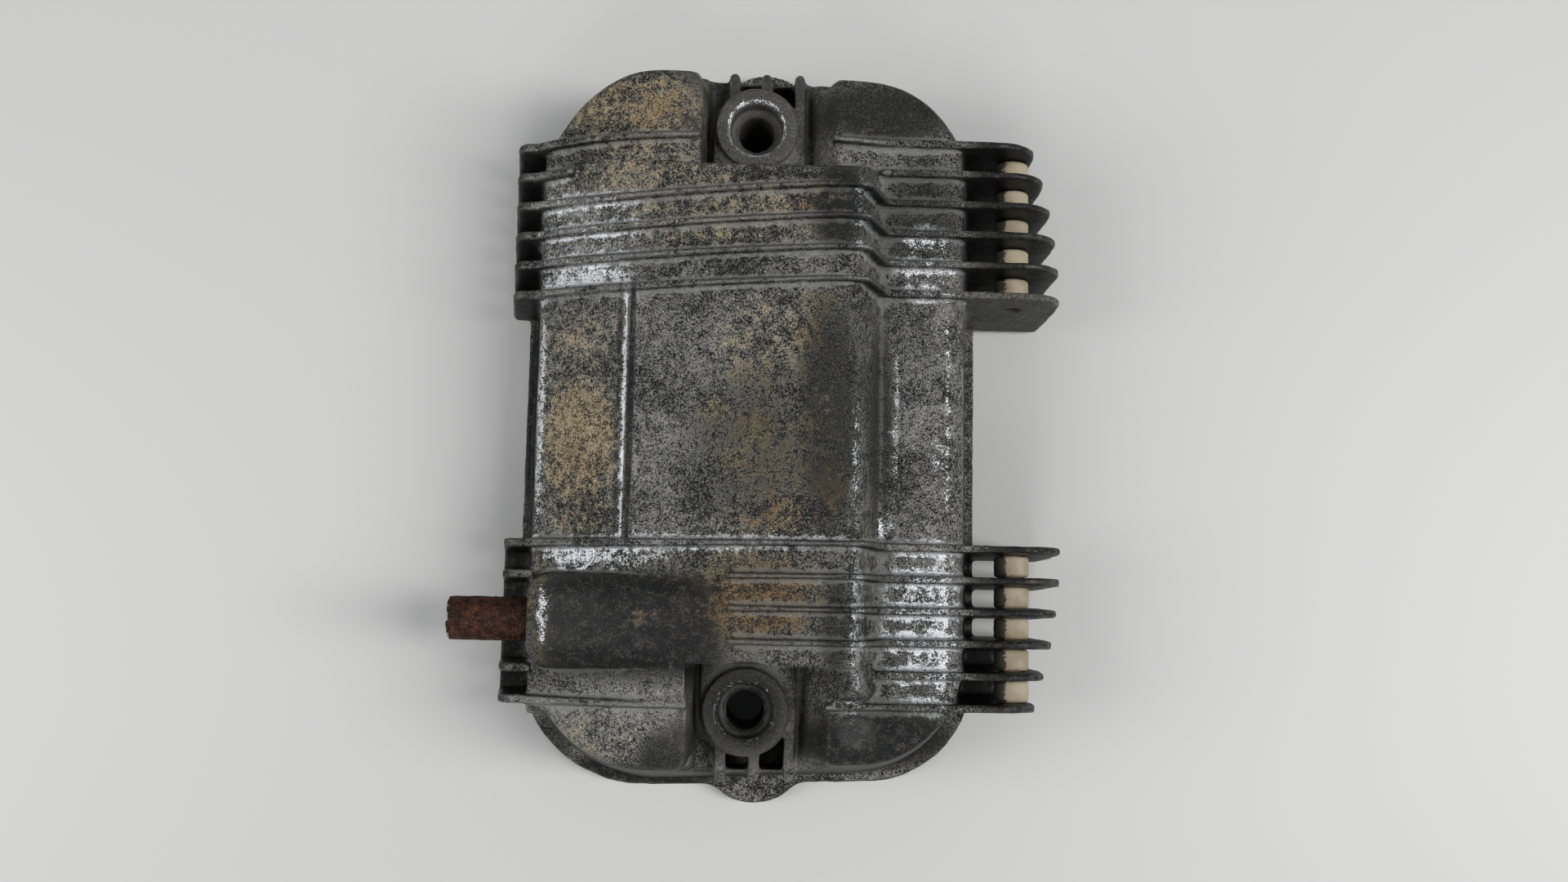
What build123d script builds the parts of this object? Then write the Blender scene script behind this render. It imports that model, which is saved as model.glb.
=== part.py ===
from build123d import *
import os
from math import radians, tan

os.makedirs("parts", exist_ok=True)

# Frame: origin midway between the two bolt axes on the sealing plane, +Z up and away
# from the cylinder head, +Y along the bolt line, -X towards the breather tube.

# ---- Gasket and flange -------------------------------------------------------------
gasket_thickness = 1.5
gasket_reach = 0.6
gasket_width = 6.0
lug_width = 12.0
flange_half_width = 64.5
flange_half_length = 102.0
end_fall = 3.5
flange_thickness = 3.5
flange_left_radius = 36.0
flange_right_radius = 30.0
tab_radius = 15.0
tab_reach = 12.5
tab_x = 2.8
tab_blend_radius = 8.0

# ---- Drafted housing walls -----------------------------------------------------------
wall_thickness = 3.2
draft_angle = 9.0
wall_step_in = 2.0
end_step_in = 0.6
housing_left_radius = 38.0
housing_right_radius = 33.0
housing_top_z = 70.0
sill_height = 14.0

# ---- Roof section, seen along the bolt line ------------------------------------------
roof_left_x = -57.5
roof_left_z = 30.5
roof_mid_x = -16.0
roof_mid_z = 49.8
crown_left_x = 21.0
crown_right_x = 27.0
crown_z = 59.5
crown_foot_x = 33.5
shelf_z = 42.5
lobe_drop = 4.0
lobe_inner_x = -10.0
lobe_step_x = 15.0
roof_edge_radius = 3.5
lobe_end_radius = 12.0
shelf_edge_radius = 5.0
crown_edge_radius = 4.0
crown_foot_radius = 2.5
crown_end_radius = 5.0

# ---- Raised crown over the rockers ----------------------------------------------------
crown_front_y = 62.0
crown_back_y = -71.0
crown_corner_radius = 10.0
crown_base_z = 28.0
crown_base_reach = 5.0
crown_draft = 17.0

# ---- Bolt bosses -----------------------------------------------------------------------
bolt_half_spacing = 78.3
bolt_hole_radius = 5.0
seat_radius = 7.0
seat_depth = 5.5
seat_chamfer = 1.1
seat_chamfer_angle = 90.0
boss_radius = 11.2
boss_top_z = 39.0
boss_moat_radius = 13.2
collar_radius = 11.9
collar_z = 37.2

# ---- Valley round each boss, open at the end of the cover --------------------------------
valley_left_x = -13.4
valley_right_x = 15.6
valley_inner_reach = 12.3
valley_z = 33.0
valley_fall = 11.0
valley_left_draft = 7.0
valley_right_draft = 27.0
valley_foot_radius = 2.0
mouth_reach = 17.8
mouth_radius = 6.0
pit_reach = 16.0
pit_floor_z = 14.0

# ---- Webs running outwards from each boss ----------------------------------------------
web_positions = (-6.4, 2.6, 11.9)
web_thickness = 2.8
web_level_reach = 8.5
web_reach = 19.3
web_top_z = 36.5
web_end_z = 28.0
web_rounding = 0.45
web_base_z = 24.0

# ---- Cooling fins ------------------------------------------------------------------------
fin_pitch = 8.25
fin_count = 6
fin_foot_thickness = 3.4
fin_top_thickness = 1.0
fin_rise = 2.5
fin_root_depth = 1.5
upper_fin_y = 32.2
lower_fin_y = -35.2
fin_right_x = 83.5
fin_right_bottom_z = 2.0
fin_right_radius = 11.0
fin_tip_step = 0.28
stub_end_x = -49.0
crest_start_x = -5.0
fin_left_x = -65.4
fin_left_foot_x = -69.3
fin_left_radius = 4.5
fin_left_rise = 1.5
crest_clip_z = 24.0
ledge_z = 6.0
ledge_thickness = 3.5
ledge_root_x = 61.0
open_bay_count = 3

# ---- Marks on the roof between the two groups of fins ---------------------------------------
panel_rib_x = -32.0
panel_rib_width = 1.8
panel_rib_rise = 0.9
pad_x = 45.5
pad_y = -1.5
pad_width = 11.6
pad_length = 33.5
pad_radius = 2.0
pad_rise = 0.6

# ---- Breather chamber and tube --------------------------------------------------------------
chamber_left_x = -57.0
chamber_right_x = 4.0
chamber_centre_y = -55.5
chamber_width = 25.0
chamber_left_z = 42.0
chamber_right_z = 56.0
chamber_radius = 6.0
chamber_base_z = 22.0
tube_radius = 6.0
tube_bore_radius = 4.75
tube_end_x = -79.6
tube_root_x = -48.0
tube_z = 29.0
tube_end_round = 0.8
shank_radius = 5.4
shank_end_x = -61.6
shank_fit = 0.02
socket_radius = 7.8

# ---- Damper strings ---------------------------------------------------------------------------
damper_x = 71.0
damper_z = 30.8
damper_radius = 4.7
damper_neck_radius = 2.4
damper_fit = 0.02
damper_crown = 0.5

# ---- Baffle plate under the breather chamber -------------------------------------------------
baffle_z = 21.0
baffle_sheet = 1.2
baffle_lip = 5.0
baffle_bend_radius = 1.5
baffle_inset = 1.4
drain_radius = 3.0
drain_spacing = 10.0
drain_shift = 7.0
rim_thickness = 3.0
rim_right_x = -22.0
rim_width = 34.0
rib_depth = 4.0
rib_thickness = 2.5
rib_positions = (-20.0, 8.0)
screw_pillar_radius = 4.2
screw_edge = 5.6
screw_radius = 2.0
screw_head_radius = 3.8
screw_head_height = 2.6
screw_length = 8.0
screw_fit = 0.05
screw_clearance = 0.3
screw_slot_width = 1.0
screw_slot_depth = 1.2
screw_head_round = 0.8
screw_tip_space = 1.0
screw_tip_chamfer = 0.5

# ---- Values worked out from the dimensions above --------------------------------------------
tab_centre_y = bolt_half_spacing + tab_reach
valley_inner_y = bolt_half_spacing - valley_inner_reach
mouth_y = bolt_half_spacing + mouth_reach
lug_length = flange_half_length - bolt_half_spacing
lug_centre_y = bolt_half_spacing + lug_length / 2
tube_y = chamber_centre_y
rim_left_x = roof_left_x + wall_thickness / 2
rim_length = rim_right_x - rim_left_x
rim_centre_x = (rim_left_x + rim_right_x) / 2
upper_last_y = upper_fin_y + (fin_count - 1) * fin_pitch
lower_last_y = lower_fin_y - (fin_count - 1) * fin_pitch
closed_bay_y = lower_fin_y - open_bay_count * fin_pitch
crest_count = 4
upper_gaps = {4: (stub_end_x, crown_foot_x)}
lower_gaps = {
    1: (chamber_left_x, crest_start_x),
    2: (fin_left_foot_x, crest_start_x),
    3: (fin_left_foot_x, crest_start_x),
    4: (chamber_left_x, crown_foot_x),
}
tube_gap = (2, 3)
corner_match = 0.01
cut_length = 4 * flange_half_width


def wall_shift(height, draft=draft_angle):
    """How far a drafted wall leans inwards over a height."""
    return height * tan(radians(draft))


def corners_at(sketch, x_position):
    """Corners of a sketch that stand at one X."""
    return sketch.vertices().filter_by_position(
        Axis.X, x_position - corner_match, x_position + corner_match
    )


def roof_section(skin, mid_z, inner_x, inner_z, step_x):
    """Housing section across the bolt line, moved inwards by skin, as a closed face.

    The roof climbs from the left wall to (inner_x, inner_z), stays level to step_x,
    drops to the shelf and ends at the right wall.
    """
    left_base = -flange_half_width + wall_step_in + skin
    right_base = -left_base
    left_z = roof_left_z - skin
    shelf = shelf_z - skin
    left_top = left_base + wall_shift(left_z - gasket_thickness)
    right_top = right_base - wall_shift(shelf - gasket_thickness)
    foot_x = crown_foot_x - skin
    with BuildSketch() as section:
        with BuildLine():
            left_wall = Line((left_base, gasket_thickness), (left_top, left_z))
            climb = ThreePointArc(
                left_wall @ 1,
                (roof_mid_x, mid_z - skin),
                (inner_x, inner_z - skin),
            )
            roof = Polyline(
                climb @ 1,
                (step_x - skin, inner_z - skin),
                (foot_x, shelf),
                (right_top, shelf),
                (right_base, gasket_thickness),
            )
            Line(roof @ 1, left_wall @ 0)
        make_face()
        fillet(section.vertices().group_by(Axis.Y)[1].sort_by(Axis.X)[0], roof_edge_radius)
        fillet(corners_at(section, foot_x), crown_foot_radius)
        fillet(corners_at(section, step_x - skin), crown_edge_radius)
        fillet(section.vertices().sort_by(Axis.X)[-2], shelf_edge_radius)
    return section.sketch


def crown_section(skin):
    """Section with the full crown."""
    return roof_section(skin, roof_mid_z, crown_left_x, crown_z, crown_right_x)


def lobe_section(skin):
    """Lower section past the ends of the crown."""
    return roof_section(
        skin,
        roof_mid_z - lobe_drop,
        lobe_inner_x,
        roof_mid_z - lobe_drop,
        lobe_step_x,
    )


def end_section(low_y, high_y, base_z, top_z, draft, radius):
    """Section along the bolt line: leaning ends under a level top with round corners."""
    lean = wall_shift(top_z - base_z, draft)
    with BuildSketch() as section:
        with BuildLine():
            Polyline(
                (low_y, base_z),
                (low_y + lean, top_z),
                (high_y - lean, top_z),
                (high_y, base_z),
                close=True,
            )
        make_face()
        fillet(section.vertices().group_by(Axis.Y)[-1], radius)
    return section.sketch


def plan_outline(x_range, y_range, fall, left_radius, right_radius):
    """Plan with round corners whose ends close in by fall from left to right."""
    with BuildSketch() as plan:
        with BuildLine():
            Polyline(
                (x_range[0], y_range[0]),
                (x_range[1], y_range[0] + fall),
                (x_range[1], y_range[1] - fall),
                (x_range[0], y_range[1]),
                close=True,
            )
        make_face()
        fillet(plan.vertices().group_by(Axis.X)[0], left_radius)
        fillet(plan.vertices().group_by(Axis.X)[-1], right_radius)
    return plan.sketch


def drafted_block(plan, base_z, draft):
    """Block over a plan whose sides all lean inwards from base_z up."""
    with BuildPart() as block:
        with BuildSketch(Plane.XY.offset(base_z)):
            add(plan)
        extrude(amount=housing_top_z - base_z, taper=draft)
    return block.part


def housing(skin):
    """Lower housing with drafted walls, round corners and the lobes at both ends."""
    half_width = flange_half_width - wall_step_in - skin
    half_length = flange_half_length - end_step_in - skin
    plan = plan_outline(
        (-half_width, half_width),
        (-half_length, half_length),
        end_fall + wall_step_in - end_step_in,
        housing_left_radius - skin,
        housing_right_radius - skin,
    )
    profile = end_section(
        -half_length,
        half_length,
        gasket_thickness,
        roof_mid_z - lobe_drop - skin,
        draft_angle,
        lobe_end_radius,
    )
    with BuildPart() as shell:
        add(drafted_block(plan, gasket_thickness, draft_angle))
        with BuildSketch(Plane.XZ):
            add(lobe_section(skin))
        extrude(amount=flange_half_length, both=True, mode=Mode.INTERSECT)
        with BuildSketch(Plane.YZ):
            add(profile)
        extrude(amount=flange_half_width, both=True, mode=Mode.INTERSECT)
    return shell.part


def crown(skin):
    """Raised crown between the bosses, with leaning ends."""
    lean = wall_shift(crown_z - crown_base_z, crown_draft)
    back_y = crown_back_y - lean + skin
    front_y = crown_front_y + lean - skin
    plan = plan_outline(
        (-2 * flange_half_width, crown_foot_x + crown_base_reach - skin),
        (back_y, front_y),
        0,
        crown_corner_radius,
        crown_corner_radius,
    )
    profile = end_section(
        back_y, front_y, crown_base_z, crown_z - skin, crown_draft, crown_end_radius
    )
    with BuildPart() as raised:
        add(drafted_block(plan, crown_base_z, crown_draft))
        with BuildSketch(Plane.XZ):
            add(crown_section(skin))
        extrude(amount=flange_half_length, both=True, mode=Mode.INTERSECT)
        with BuildSketch(Plane.YZ):
            add(profile)
        extrude(amount=flange_half_width, both=True, mode=Mode.INTERSECT)
    return raised.part


def chamber(skin):
    """Breather chamber standing out of the low side of the roof."""
    half = chamber_width / 2 - skin
    left_x = chamber_left_x + skin
    foot_x = left_x - wall_shift(chamber_left_z - chamber_base_z)
    with BuildPart() as box:
        with BuildSketch(Plane.XZ.offset(-chamber_centre_y)):
            with BuildLine():
                Polyline(
                    (foot_x, chamber_base_z),
                    (left_x, chamber_left_z - skin),
                    (chamber_right_x - skin, chamber_right_z - skin),
                    (chamber_right_x - skin, chamber_base_z),
                    close=True,
                )
            make_face()
        extrude(amount=half, both=True)
        end_edges = box.faces().sort_by(Axis.X)[0].edges().sort_by(Axis.Z)[1:]
        top_edges = box.faces().sort_by(Axis.Z)[-1].edges().filter_by(Axis.Y, reverse=True)
        fillet(end_edges + top_edges, chamber_radius - skin / 2)
    return box.part


def bolt_sites():
    """Centres of the two bolts on the sealing plane."""
    return Locations((0, bolt_half_spacing), (0, -bolt_half_spacing))


def screw_sites():
    """Centres of the baffle screws, in the corners of the breather rim."""
    x_spacing = rim_length - 2 * screw_edge
    y_spacing = rim_width - 2 * screw_edge
    with Locations((rim_centre_x, chamber_centre_y)):
        return GridLocations(x_spacing, y_spacing, 2, 2)


def valley_rim(spread):
    """Left and right edge of a valley where it meets the lobes."""
    left_x = valley_left_x - wall_shift(roof_mid_z - lobe_drop - valley_z, valley_left_draft)
    right_x = valley_right_x + wall_shift(shelf_z - valley_z, valley_right_draft)
    return (left_x - spread, right_x + spread)


def valley_section(spread):
    """Section across a valley, steep towards the left lobe and open towards the right one."""
    base_z = sill_height - spread
    drop = valley_z - base_z
    rise = crown_z - valley_z
    left_x = valley_left_x - spread
    right_x = valley_right_x + spread
    with BuildSketch() as section:
        with BuildLine():
            Polyline(
                (left_x + wall_shift(drop, valley_left_draft), base_z),
                (left_x - wall_shift(rise, valley_left_draft), crown_z),
                (right_x + wall_shift(rise, valley_right_draft), crown_z),
                (right_x - wall_shift(drop, valley_right_draft), base_z),
                close=True,
            )
        make_face()
    return section.sketch


def valley(spread, end_sign):
    """Valley between the lobes, falling away towards the end of the cover."""
    inner_y = valley_inner_y - spread
    outer_y = flange_half_length + tab_radius
    floor_z = valley_z - spread
    with BuildPart() as trough:
        with BuildSketch(Plane.XZ):
            add(valley_section(spread))
        extrude(amount=outer_y, both=True)
        with BuildSketch(Plane.YZ):
            with BuildLine():
                Polyline(
                    (end_sign * inner_y, floor_z),
                    (end_sign * inner_y, crown_z),
                    (end_sign * outer_y, crown_z),
                    (end_sign * outer_y, floor_z - wall_shift(outer_y - inner_y, valley_fall)),
                    close=True,
                )
            make_face()
        extrude(amount=flange_half_width, both=True, mode=Mode.INTERSECT)
        floor_edges = trough.faces().sort_by(Axis.Z)[0].edges().sort_by(SortBy.LENGTH)[-2:]
        fillet(floor_edges, valley_foot_radius)
    return trough.part


def valley_mouth(end_sign):
    """Tool that rounds the lobes' upright corners where a valley opens through the end wall."""
    left_rim, right_rim = valley_rim(0)
    left_x = left_rim - mouth_radius
    right_x = right_rim + mouth_radius
    corner_y = end_sign * (mouth_y - mouth_radius)
    with BuildPart() as rounding:
        with BuildSketch(Plane.XY.offset(valley_z)):
            with Locations(((left_x + right_x) / 2, end_sign * mouth_y)):
                Rectangle(right_x - left_x, 2 * mouth_radius)
            with Locations((left_x, corner_y), (right_x, corner_y)):
                Circle(mouth_radius, mode=Mode.SUBTRACT)
        extrude(amount=crown_z - valley_z)
    return rounding.part


def pit(spread, end_sign):
    """Deep pit between the webs, outwards of a boss."""
    left_x = web_positions[0] - spread
    right_x = web_positions[-1] + spread
    length = pit_reach + spread
    with BuildPart() as cut:
        with BuildSketch(Plane.XY.offset(pit_floor_z - spread)):
            with Locations(((left_x + right_x) / 2, end_sign * (bolt_half_spacing + length / 2))):
                Rectangle(right_x - left_x, length)
        extrude(amount=boss_top_z - pit_floor_z)
    return cut.part


def boss_collar(end_sign):
    """Plan of the collar under a boss: round outwards, straight sides back to the crown."""
    with BuildSketch() as plan:
        with Locations((0, end_sign * bolt_half_spacing)):
            Circle(collar_radius)
        with Locations((0, end_sign * (bolt_half_spacing - boss_moat_radius / 2))):
            Rectangle(2 * collar_radius, boss_moat_radius)
    return plan.sketch


def web(x_position, end_sign, root_y):
    """Upright web that runs outwards from root_y to the end wall, falling away at the end."""
    level_y = bolt_half_spacing + web_level_reach
    end_y = bolt_half_spacing + web_reach
    with BuildPart() as plate:
        with BuildSketch(Plane.YZ.offset(x_position)):
            with BuildLine():
                Polyline(
                    (end_sign * root_y, web_base_z),
                    (end_sign * root_y, web_top_z),
                    (end_sign * level_y, web_top_z),
                    (end_sign * end_y, web_end_z),
                    (end_sign * end_y, flange_thickness + gasket_thickness),
                    (end_sign * (bolt_half_spacing + pit_reach), web_base_z),
                    close=True,
                )
            make_face()
        extrude(amount=web_thickness / 2, both=True)
        outer_edges = plate.faces().sort_by(Axis.Y)[-1 if end_sign > 0 else 0].edges()
        fillet(outer_edges.filter_by(Axis.Z), web_thickness * web_rounding)
    return plate.part


def crest_gap(y_position, gap):
    """Stretch along X where a fin has no crest: its own, or the valley that it crosses."""
    if gap is None and abs(y_position) > valley_inner_y:
        return valley_rim(0)
    return gap


def fin(y_position, tip_x, section, gap, left_wing=True):
    """One cooling fin: a thin crest over the roof with a wing past each wall.

    section gives the roof that the crest follows, gap the stretch along X with no crest.
    """
    with BuildPart() as blade:
        with BuildSketch(Plane.XZ.offset(-y_position)) as outline:
            add(section(-fin_rise))
            with Locations((0, crest_clip_z)):
                Rectangle(
                    cut_length,
                    cut_length,
                    align=(Align.CENTER, Align.MIN),
                    mode=Mode.INTERSECT,
                )
            with BuildLine():
                Polyline(
                    (crown_foot_x, fin_right_bottom_z),
                    (crown_foot_x, shelf_z + fin_rise),
                    (tip_x, shelf_z + fin_rise),
                    (tip_x, fin_right_bottom_z),
                    close=True,
                )
            make_face()
            if left_wing:
                with BuildLine():
                    Polyline(
                        (roof_mid_x, ledge_z - ledge_thickness),
                        (fin_left_foot_x, ledge_z - ledge_thickness),
                        (fin_left_foot_x, ledge_z),
                        (fin_left_x, roof_left_z + fin_left_rise),
                        (roof_left_x, roof_left_z + fin_rise),
                        close=True,
                    )
                make_face()
            add(section(fin_root_depth), mode=Mode.SUBTRACT)
            fillet(corners_at(outline, tip_x).sort_by(Axis.Y)[-1], fin_right_radius)
            if left_wing:
                fillet(corners_at(outline, fin_left_x), fin_left_radius)
            if gap:
                with Locations(((gap[0] + gap[1]) / 2, crown_z)):
                    Rectangle(gap[1] - gap[0], crown_z, mode=Mode.SUBTRACT)
            with Locations((damper_x, damper_z)):
                Circle(damper_neck_radius + damper_fit, mode=Mode.SUBTRACT)
        extrude(amount=fin_foot_thickness, both=True)
        with BuildSketch(Plane.YZ):
            with BuildLine():
                Polyline(
                    (y_position - fin_foot_thickness / 2, gasket_thickness),
                    (y_position + fin_foot_thickness / 2, gasket_thickness),
                    (y_position + fin_top_thickness / 2, housing_top_z),
                    (y_position - fin_top_thickness / 2, housing_top_z),
                    close=True,
                )
            make_face()
        extrude(amount=cut_length, both=True, mode=Mode.INTERSECT)
    return blade.part


def ledge(left_x, right_x, first_y, last_y):
    """Shelf low on a side wall that ties the feet of neighbouring fins together."""
    with BuildPart() as plate:
        with BuildSketch(Plane.XY.offset(ledge_z - ledge_thickness)):
            with Locations(((left_x + right_x) / 2, (first_y + last_y) / 2)):
                Rectangle(right_x - left_x, abs(last_y - first_y))
        extrude(amount=ledge_thickness)
    return plate.part


def fin_width(height):
    """Fin thickness at a height, thinning upwards with the casting draft."""
    share = (height - gasket_thickness) / (housing_top_z - gasket_thickness)
    return fin_foot_thickness + share * (fin_top_thickness - fin_foot_thickness)


def tip_reach(step):
    """How far a fin reaches to the right, falling away from the middle of the cover."""
    return fin_right_x - fin_tip_step * step * step


def flange_plan(inset):
    """Outline of the flange without its tabs, moved inwards by inset."""
    half_width = flange_half_width - inset
    half_length = flange_half_length - inset
    return plan_outline(
        (-half_width, half_width),
        (-half_length, half_length),
        end_fall,
        flange_left_radius - inset,
        flange_right_radius - inset,
    )


# ---- The casting -------------------------------------------------------------------------------
with BuildPart() as flange:
    with BuildSketch(Plane.XY.offset(gasket_thickness)) as flange_outline:
        add(flange_plan(0))
        with Locations((tab_x, tab_centre_y), (tab_x, -tab_centre_y)):
            Circle(tab_radius)
        tab_corners = flange_outline.vertices().filter_by_position(
            Axis.X, tab_x - tab_radius, tab_x + tab_radius
        )
        fillet(tab_corners, tab_blend_radius)
    extrude(amount=flange_thickness)

with BuildPart() as outside:
    add(flange.part)
    add(housing(0))
    add(crown(0))
    add(chamber(0))
    for end_sign in (-1, 1):
        add(valley(0, end_sign), mode=Mode.SUBTRACT)
        add(valley_mouth(end_sign), mode=Mode.SUBTRACT)
        add(pit(0, end_sign), mode=Mode.SUBTRACT)

with BuildPart() as hollow:
    add(housing(wall_thickness))
    add(crown(wall_thickness))
    add(chamber(wall_thickness))
    for end_sign in (-1, 1):
        add(valley(wall_thickness, end_sign), mode=Mode.SUBTRACT)
        add(pit(wall_thickness, end_sign), mode=Mode.SUBTRACT)

with BuildPart() as breather_rim:
    with BuildSketch(Plane.XY.offset(baffle_z)):
        with Locations((rim_centre_x, chamber_centre_y)):
            Rectangle(rim_length, rim_width)
            Rectangle(
                rim_length - 2 * rim_thickness,
                rim_width - 2 * rim_thickness,
                mode=Mode.SUBTRACT,
            )
        with screw_sites():
            Circle(screw_pillar_radius)
    extrude(amount=crown_z - baffle_z)
    with BuildSketch(Plane.YZ.offset(tube_root_x)):
        with Locations((tube_y, tube_z)):
            Circle(socket_radius)
    extrude(amount=rim_left_x - tube_root_x)
    add(outside.part, mode=Mode.INTERSECT)

with BuildPart() as inner_ribs:
    for y_position in rib_positions:
        with BuildSketch(Plane.XZ.offset(-y_position)):
            add(crown_section(wall_thickness / 2))
            add(crown_section(wall_thickness + rib_depth), mode=Mode.SUBTRACT)
            Rectangle(
                cut_length,
                gasket_thickness + flange_thickness,
                align=(Align.CENTER, Align.MIN),
                mode=Mode.SUBTRACT,
            )
        extrude(amount=rib_thickness / 2, both=True)

with BuildPart() as cover_casting:
    add(outside.part)
    add(hollow.part, mode=Mode.SUBTRACT)
    with BuildSketch(Plane.XY.offset(gasket_thickness)):
        with bolt_sites():
            Circle(boss_radius)
    extrude(amount=boss_top_z - gasket_thickness)
    for end_sign in (-1, 1):
        with BuildSketch(Plane.XY.offset(valley_z - wall_thickness)):
            add(boss_collar(end_sign))
        extrude(amount=collar_z - valley_z + wall_thickness)
        for x_position in web_positions:
            clear_of_boss = x_position > boss_radius
            add(web(x_position, end_sign, valley_inner_y if clear_of_boss else bolt_half_spacing))
    with BuildSketch(Plane.XY.offset(boss_top_z)):
        with bolt_sites():
            Circle(boss_moat_radius)
    extrude(amount=crown_z - boss_top_z, mode=Mode.SUBTRACT)

    add(breather_rim.part)
    add(inner_ribs.part)

    for step in range(fin_count):
        y_position = upper_fin_y + step * fin_pitch
        section = crown_section if step < crest_count else lobe_section
        gap = crest_gap(y_position, upper_gaps.get(step))
        add(fin(y_position, tip_reach(step), section, gap))
    add(ledge(fin_left_foot_x, -ledge_root_x, upper_fin_y, upper_last_y))
    add(ledge(fin_left_foot_x, -ledge_root_x, lower_fin_y, lower_last_y))
    add(ledge(ledge_root_x, damper_x, closed_bay_y, lower_last_y))
    for step in range(fin_count):
        y_position = lower_fin_y - step * fin_pitch
        section = crown_section if step < crest_count else lobe_section
        gap = crest_gap(y_position, lower_gaps.get(step))
        add(fin(y_position, tip_reach(step), section, gap, step not in tube_gap))

    with BuildSketch(Plane.YZ.offset(tube_root_x)):
        with Locations((tube_y, tube_z)):
            Circle(shank_radius + shank_fit)
    extrude(amount=2 * tube_end_x, mode=Mode.SUBTRACT)
    with BuildSketch(Plane.XY.offset(baffle_z)):
        with screw_sites():
            Circle(screw_radius + screw_fit)
    extrude(amount=screw_length + screw_tip_space, mode=Mode.SUBTRACT)
    with bolt_sites():
        with Locations((0, 0, boss_top_z)):
            CounterBoreHole(bolt_hole_radius, seat_radius, seat_depth, boss_top_z)
            CounterSinkHole(
                bolt_hole_radius, seat_radius + seat_chamfer, boss_top_z, seat_chamfer_angle
            )
    with BuildSketch(Plane.XZ.offset(-upper_fin_y)):
        with Locations((panel_rib_x, 0)):
            Rectangle(panel_rib_width, housing_top_z, align=(Align.CENTER, Align.MIN))
        add(crown_section(-panel_rib_rise), mode=Mode.INTERSECT)
        add(crown_section(fin_root_depth), mode=Mode.SUBTRACT)
    extrude(amount=upper_fin_y - lower_fin_y)
    with BuildSketch(Plane.XY.offset(shelf_z - fin_root_depth)):
        with Locations((pad_x, pad_y)):
            RectangleRounded(pad_width, pad_length, pad_radius)
    extrude(amount=fin_root_depth + pad_rise)

cover_casting.part.label = "cover_casting"
export_step(cover_casting.part, "parts/cover_casting.step")

# ---- Breather tube, pressed into the chamber ------------------------------------------------
with BuildPart() as breather_tube:
    with BuildSketch(Plane.XZ.offset(-tube_y)) as tube_wall:
        with BuildLine():
            Polyline(
                (tube_root_x, tube_z + tube_bore_radius),
                (tube_root_x, tube_z + shank_radius),
                (shank_end_x, tube_z + shank_radius),
                (shank_end_x, tube_z + tube_radius),
                (tube_end_x, tube_z + tube_radius),
                (tube_end_x, tube_z + tube_bore_radius),
                close=True,
            )
        make_face()
        fillet(corners_at(tube_wall, tube_end_x).sort_by(Axis.Y)[-1], tube_end_round)
    revolve(axis=Axis((0, tube_y, tube_z), (1, 0, 0)))
breather_tube.part.label = "breather_tube"
export_step(breather_tube.part, "parts/breather_tube.step")


def damper_string(first_y):
    """Rubber string between six fins: a barrel in each gap and a neck through each fin."""
    barrel_half = (fin_pitch - fin_width(damper_z - damper_radius)) / 2 - damper_fit
    string_half = (fin_count - 1) * fin_pitch / 2
    centre_y = first_y + string_half
    with BuildPart() as damper:
        with BuildSketch(Plane.XY.offset(damper_z)):
            with Locations((damper_x + damper_neck_radius / 2, centre_y)):
                Rectangle(damper_neck_radius, 2 * string_half)
            for gap in range(fin_count - 1):
                gap_y = first_y + (gap + 0.5) * fin_pitch
                rim_x = damper_x + damper_radius - damper_crown
                with BuildLine():
                    flank = Polyline(
                        (rim_x, gap_y - barrel_half),
                        (damper_x, gap_y - barrel_half),
                        (damper_x, gap_y + barrel_half),
                        (rim_x, gap_y + barrel_half),
                    )
                    ThreePointArc(flank @ 0, (damper_x + damper_radius, gap_y), flank @ 1)
                make_face()
        revolve(axis=Axis((damper_x, 0, damper_z), (0, 1, 0)))
    return damper.part


with BuildPart() as fin_damper_upper:
    add(damper_string(upper_fin_y))
fin_damper_upper.part.label = "fin_damper_upper"
export_step(fin_damper_upper.part, "parts/fin_damper_upper.step")

with BuildPart() as fin_damper_lower:
    add(damper_string(lower_last_y))
fin_damper_lower.part.label = "fin_damper_lower"
export_step(fin_damper_lower.part, "parts/fin_damper_lower.step")

# ---- Flat gasket under the flange ------------------------------------------------------------
with BuildPart() as gasket:
    with BuildSketch():
        add(flange.faces().sort_by(Axis.Z)[0])
        offset(amount=gasket_reach)
        add(flange_plan(gasket_width), mode=Mode.SUBTRACT)
        with bolt_sites():
            Circle(boss_radius)
        with Locations((0, lug_centre_y), (0, -lug_centre_y)):
            Rectangle(lug_width, lug_length)
        with bolt_sites():
            Circle(bolt_hole_radius, mode=Mode.SUBTRACT)
    extrude(amount=gasket_thickness)
gasket.part.label = "gasket"
export_step(gasket.part, "parts/gasket.step")

# ---- Folded baffle under the breather chamber ------------------------------------------------
with BuildPart() as breather_baffle:
    with BuildSketch(Plane.XZ.offset(-chamber_centre_y)):
        with BuildLine():
            sheet_line = Polyline(
                (rim_left_x + baffle_inset, baffle_z - baffle_sheet / 2),
                (rim_right_x + baffle_sheet, baffle_z - baffle_sheet / 2),
                (rim_right_x + baffle_sheet, baffle_z - baffle_lip),
            )
            fillet(sheet_line.vertices().sort_by(Axis.X)[1], baffle_bend_radius)
        trace(line_width=baffle_sheet)
    extrude(amount=rim_width / 2, both=True)
    with BuildSketch(Plane.XY.offset(baffle_z)):
        with screw_sites():
            Circle(screw_radius + screw_clearance)
        with Locations((rim_centre_x + drain_shift, chamber_centre_y)):
            with GridLocations(drain_spacing, drain_spacing, 2, 2):
                Circle(drain_radius)
    extrude(amount=-2 * baffle_sheet, mode=Mode.SUBTRACT)
breather_baffle.part.label = "breather_baffle"
export_step(breather_baffle.part, "parts/breather_baffle.step")

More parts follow.
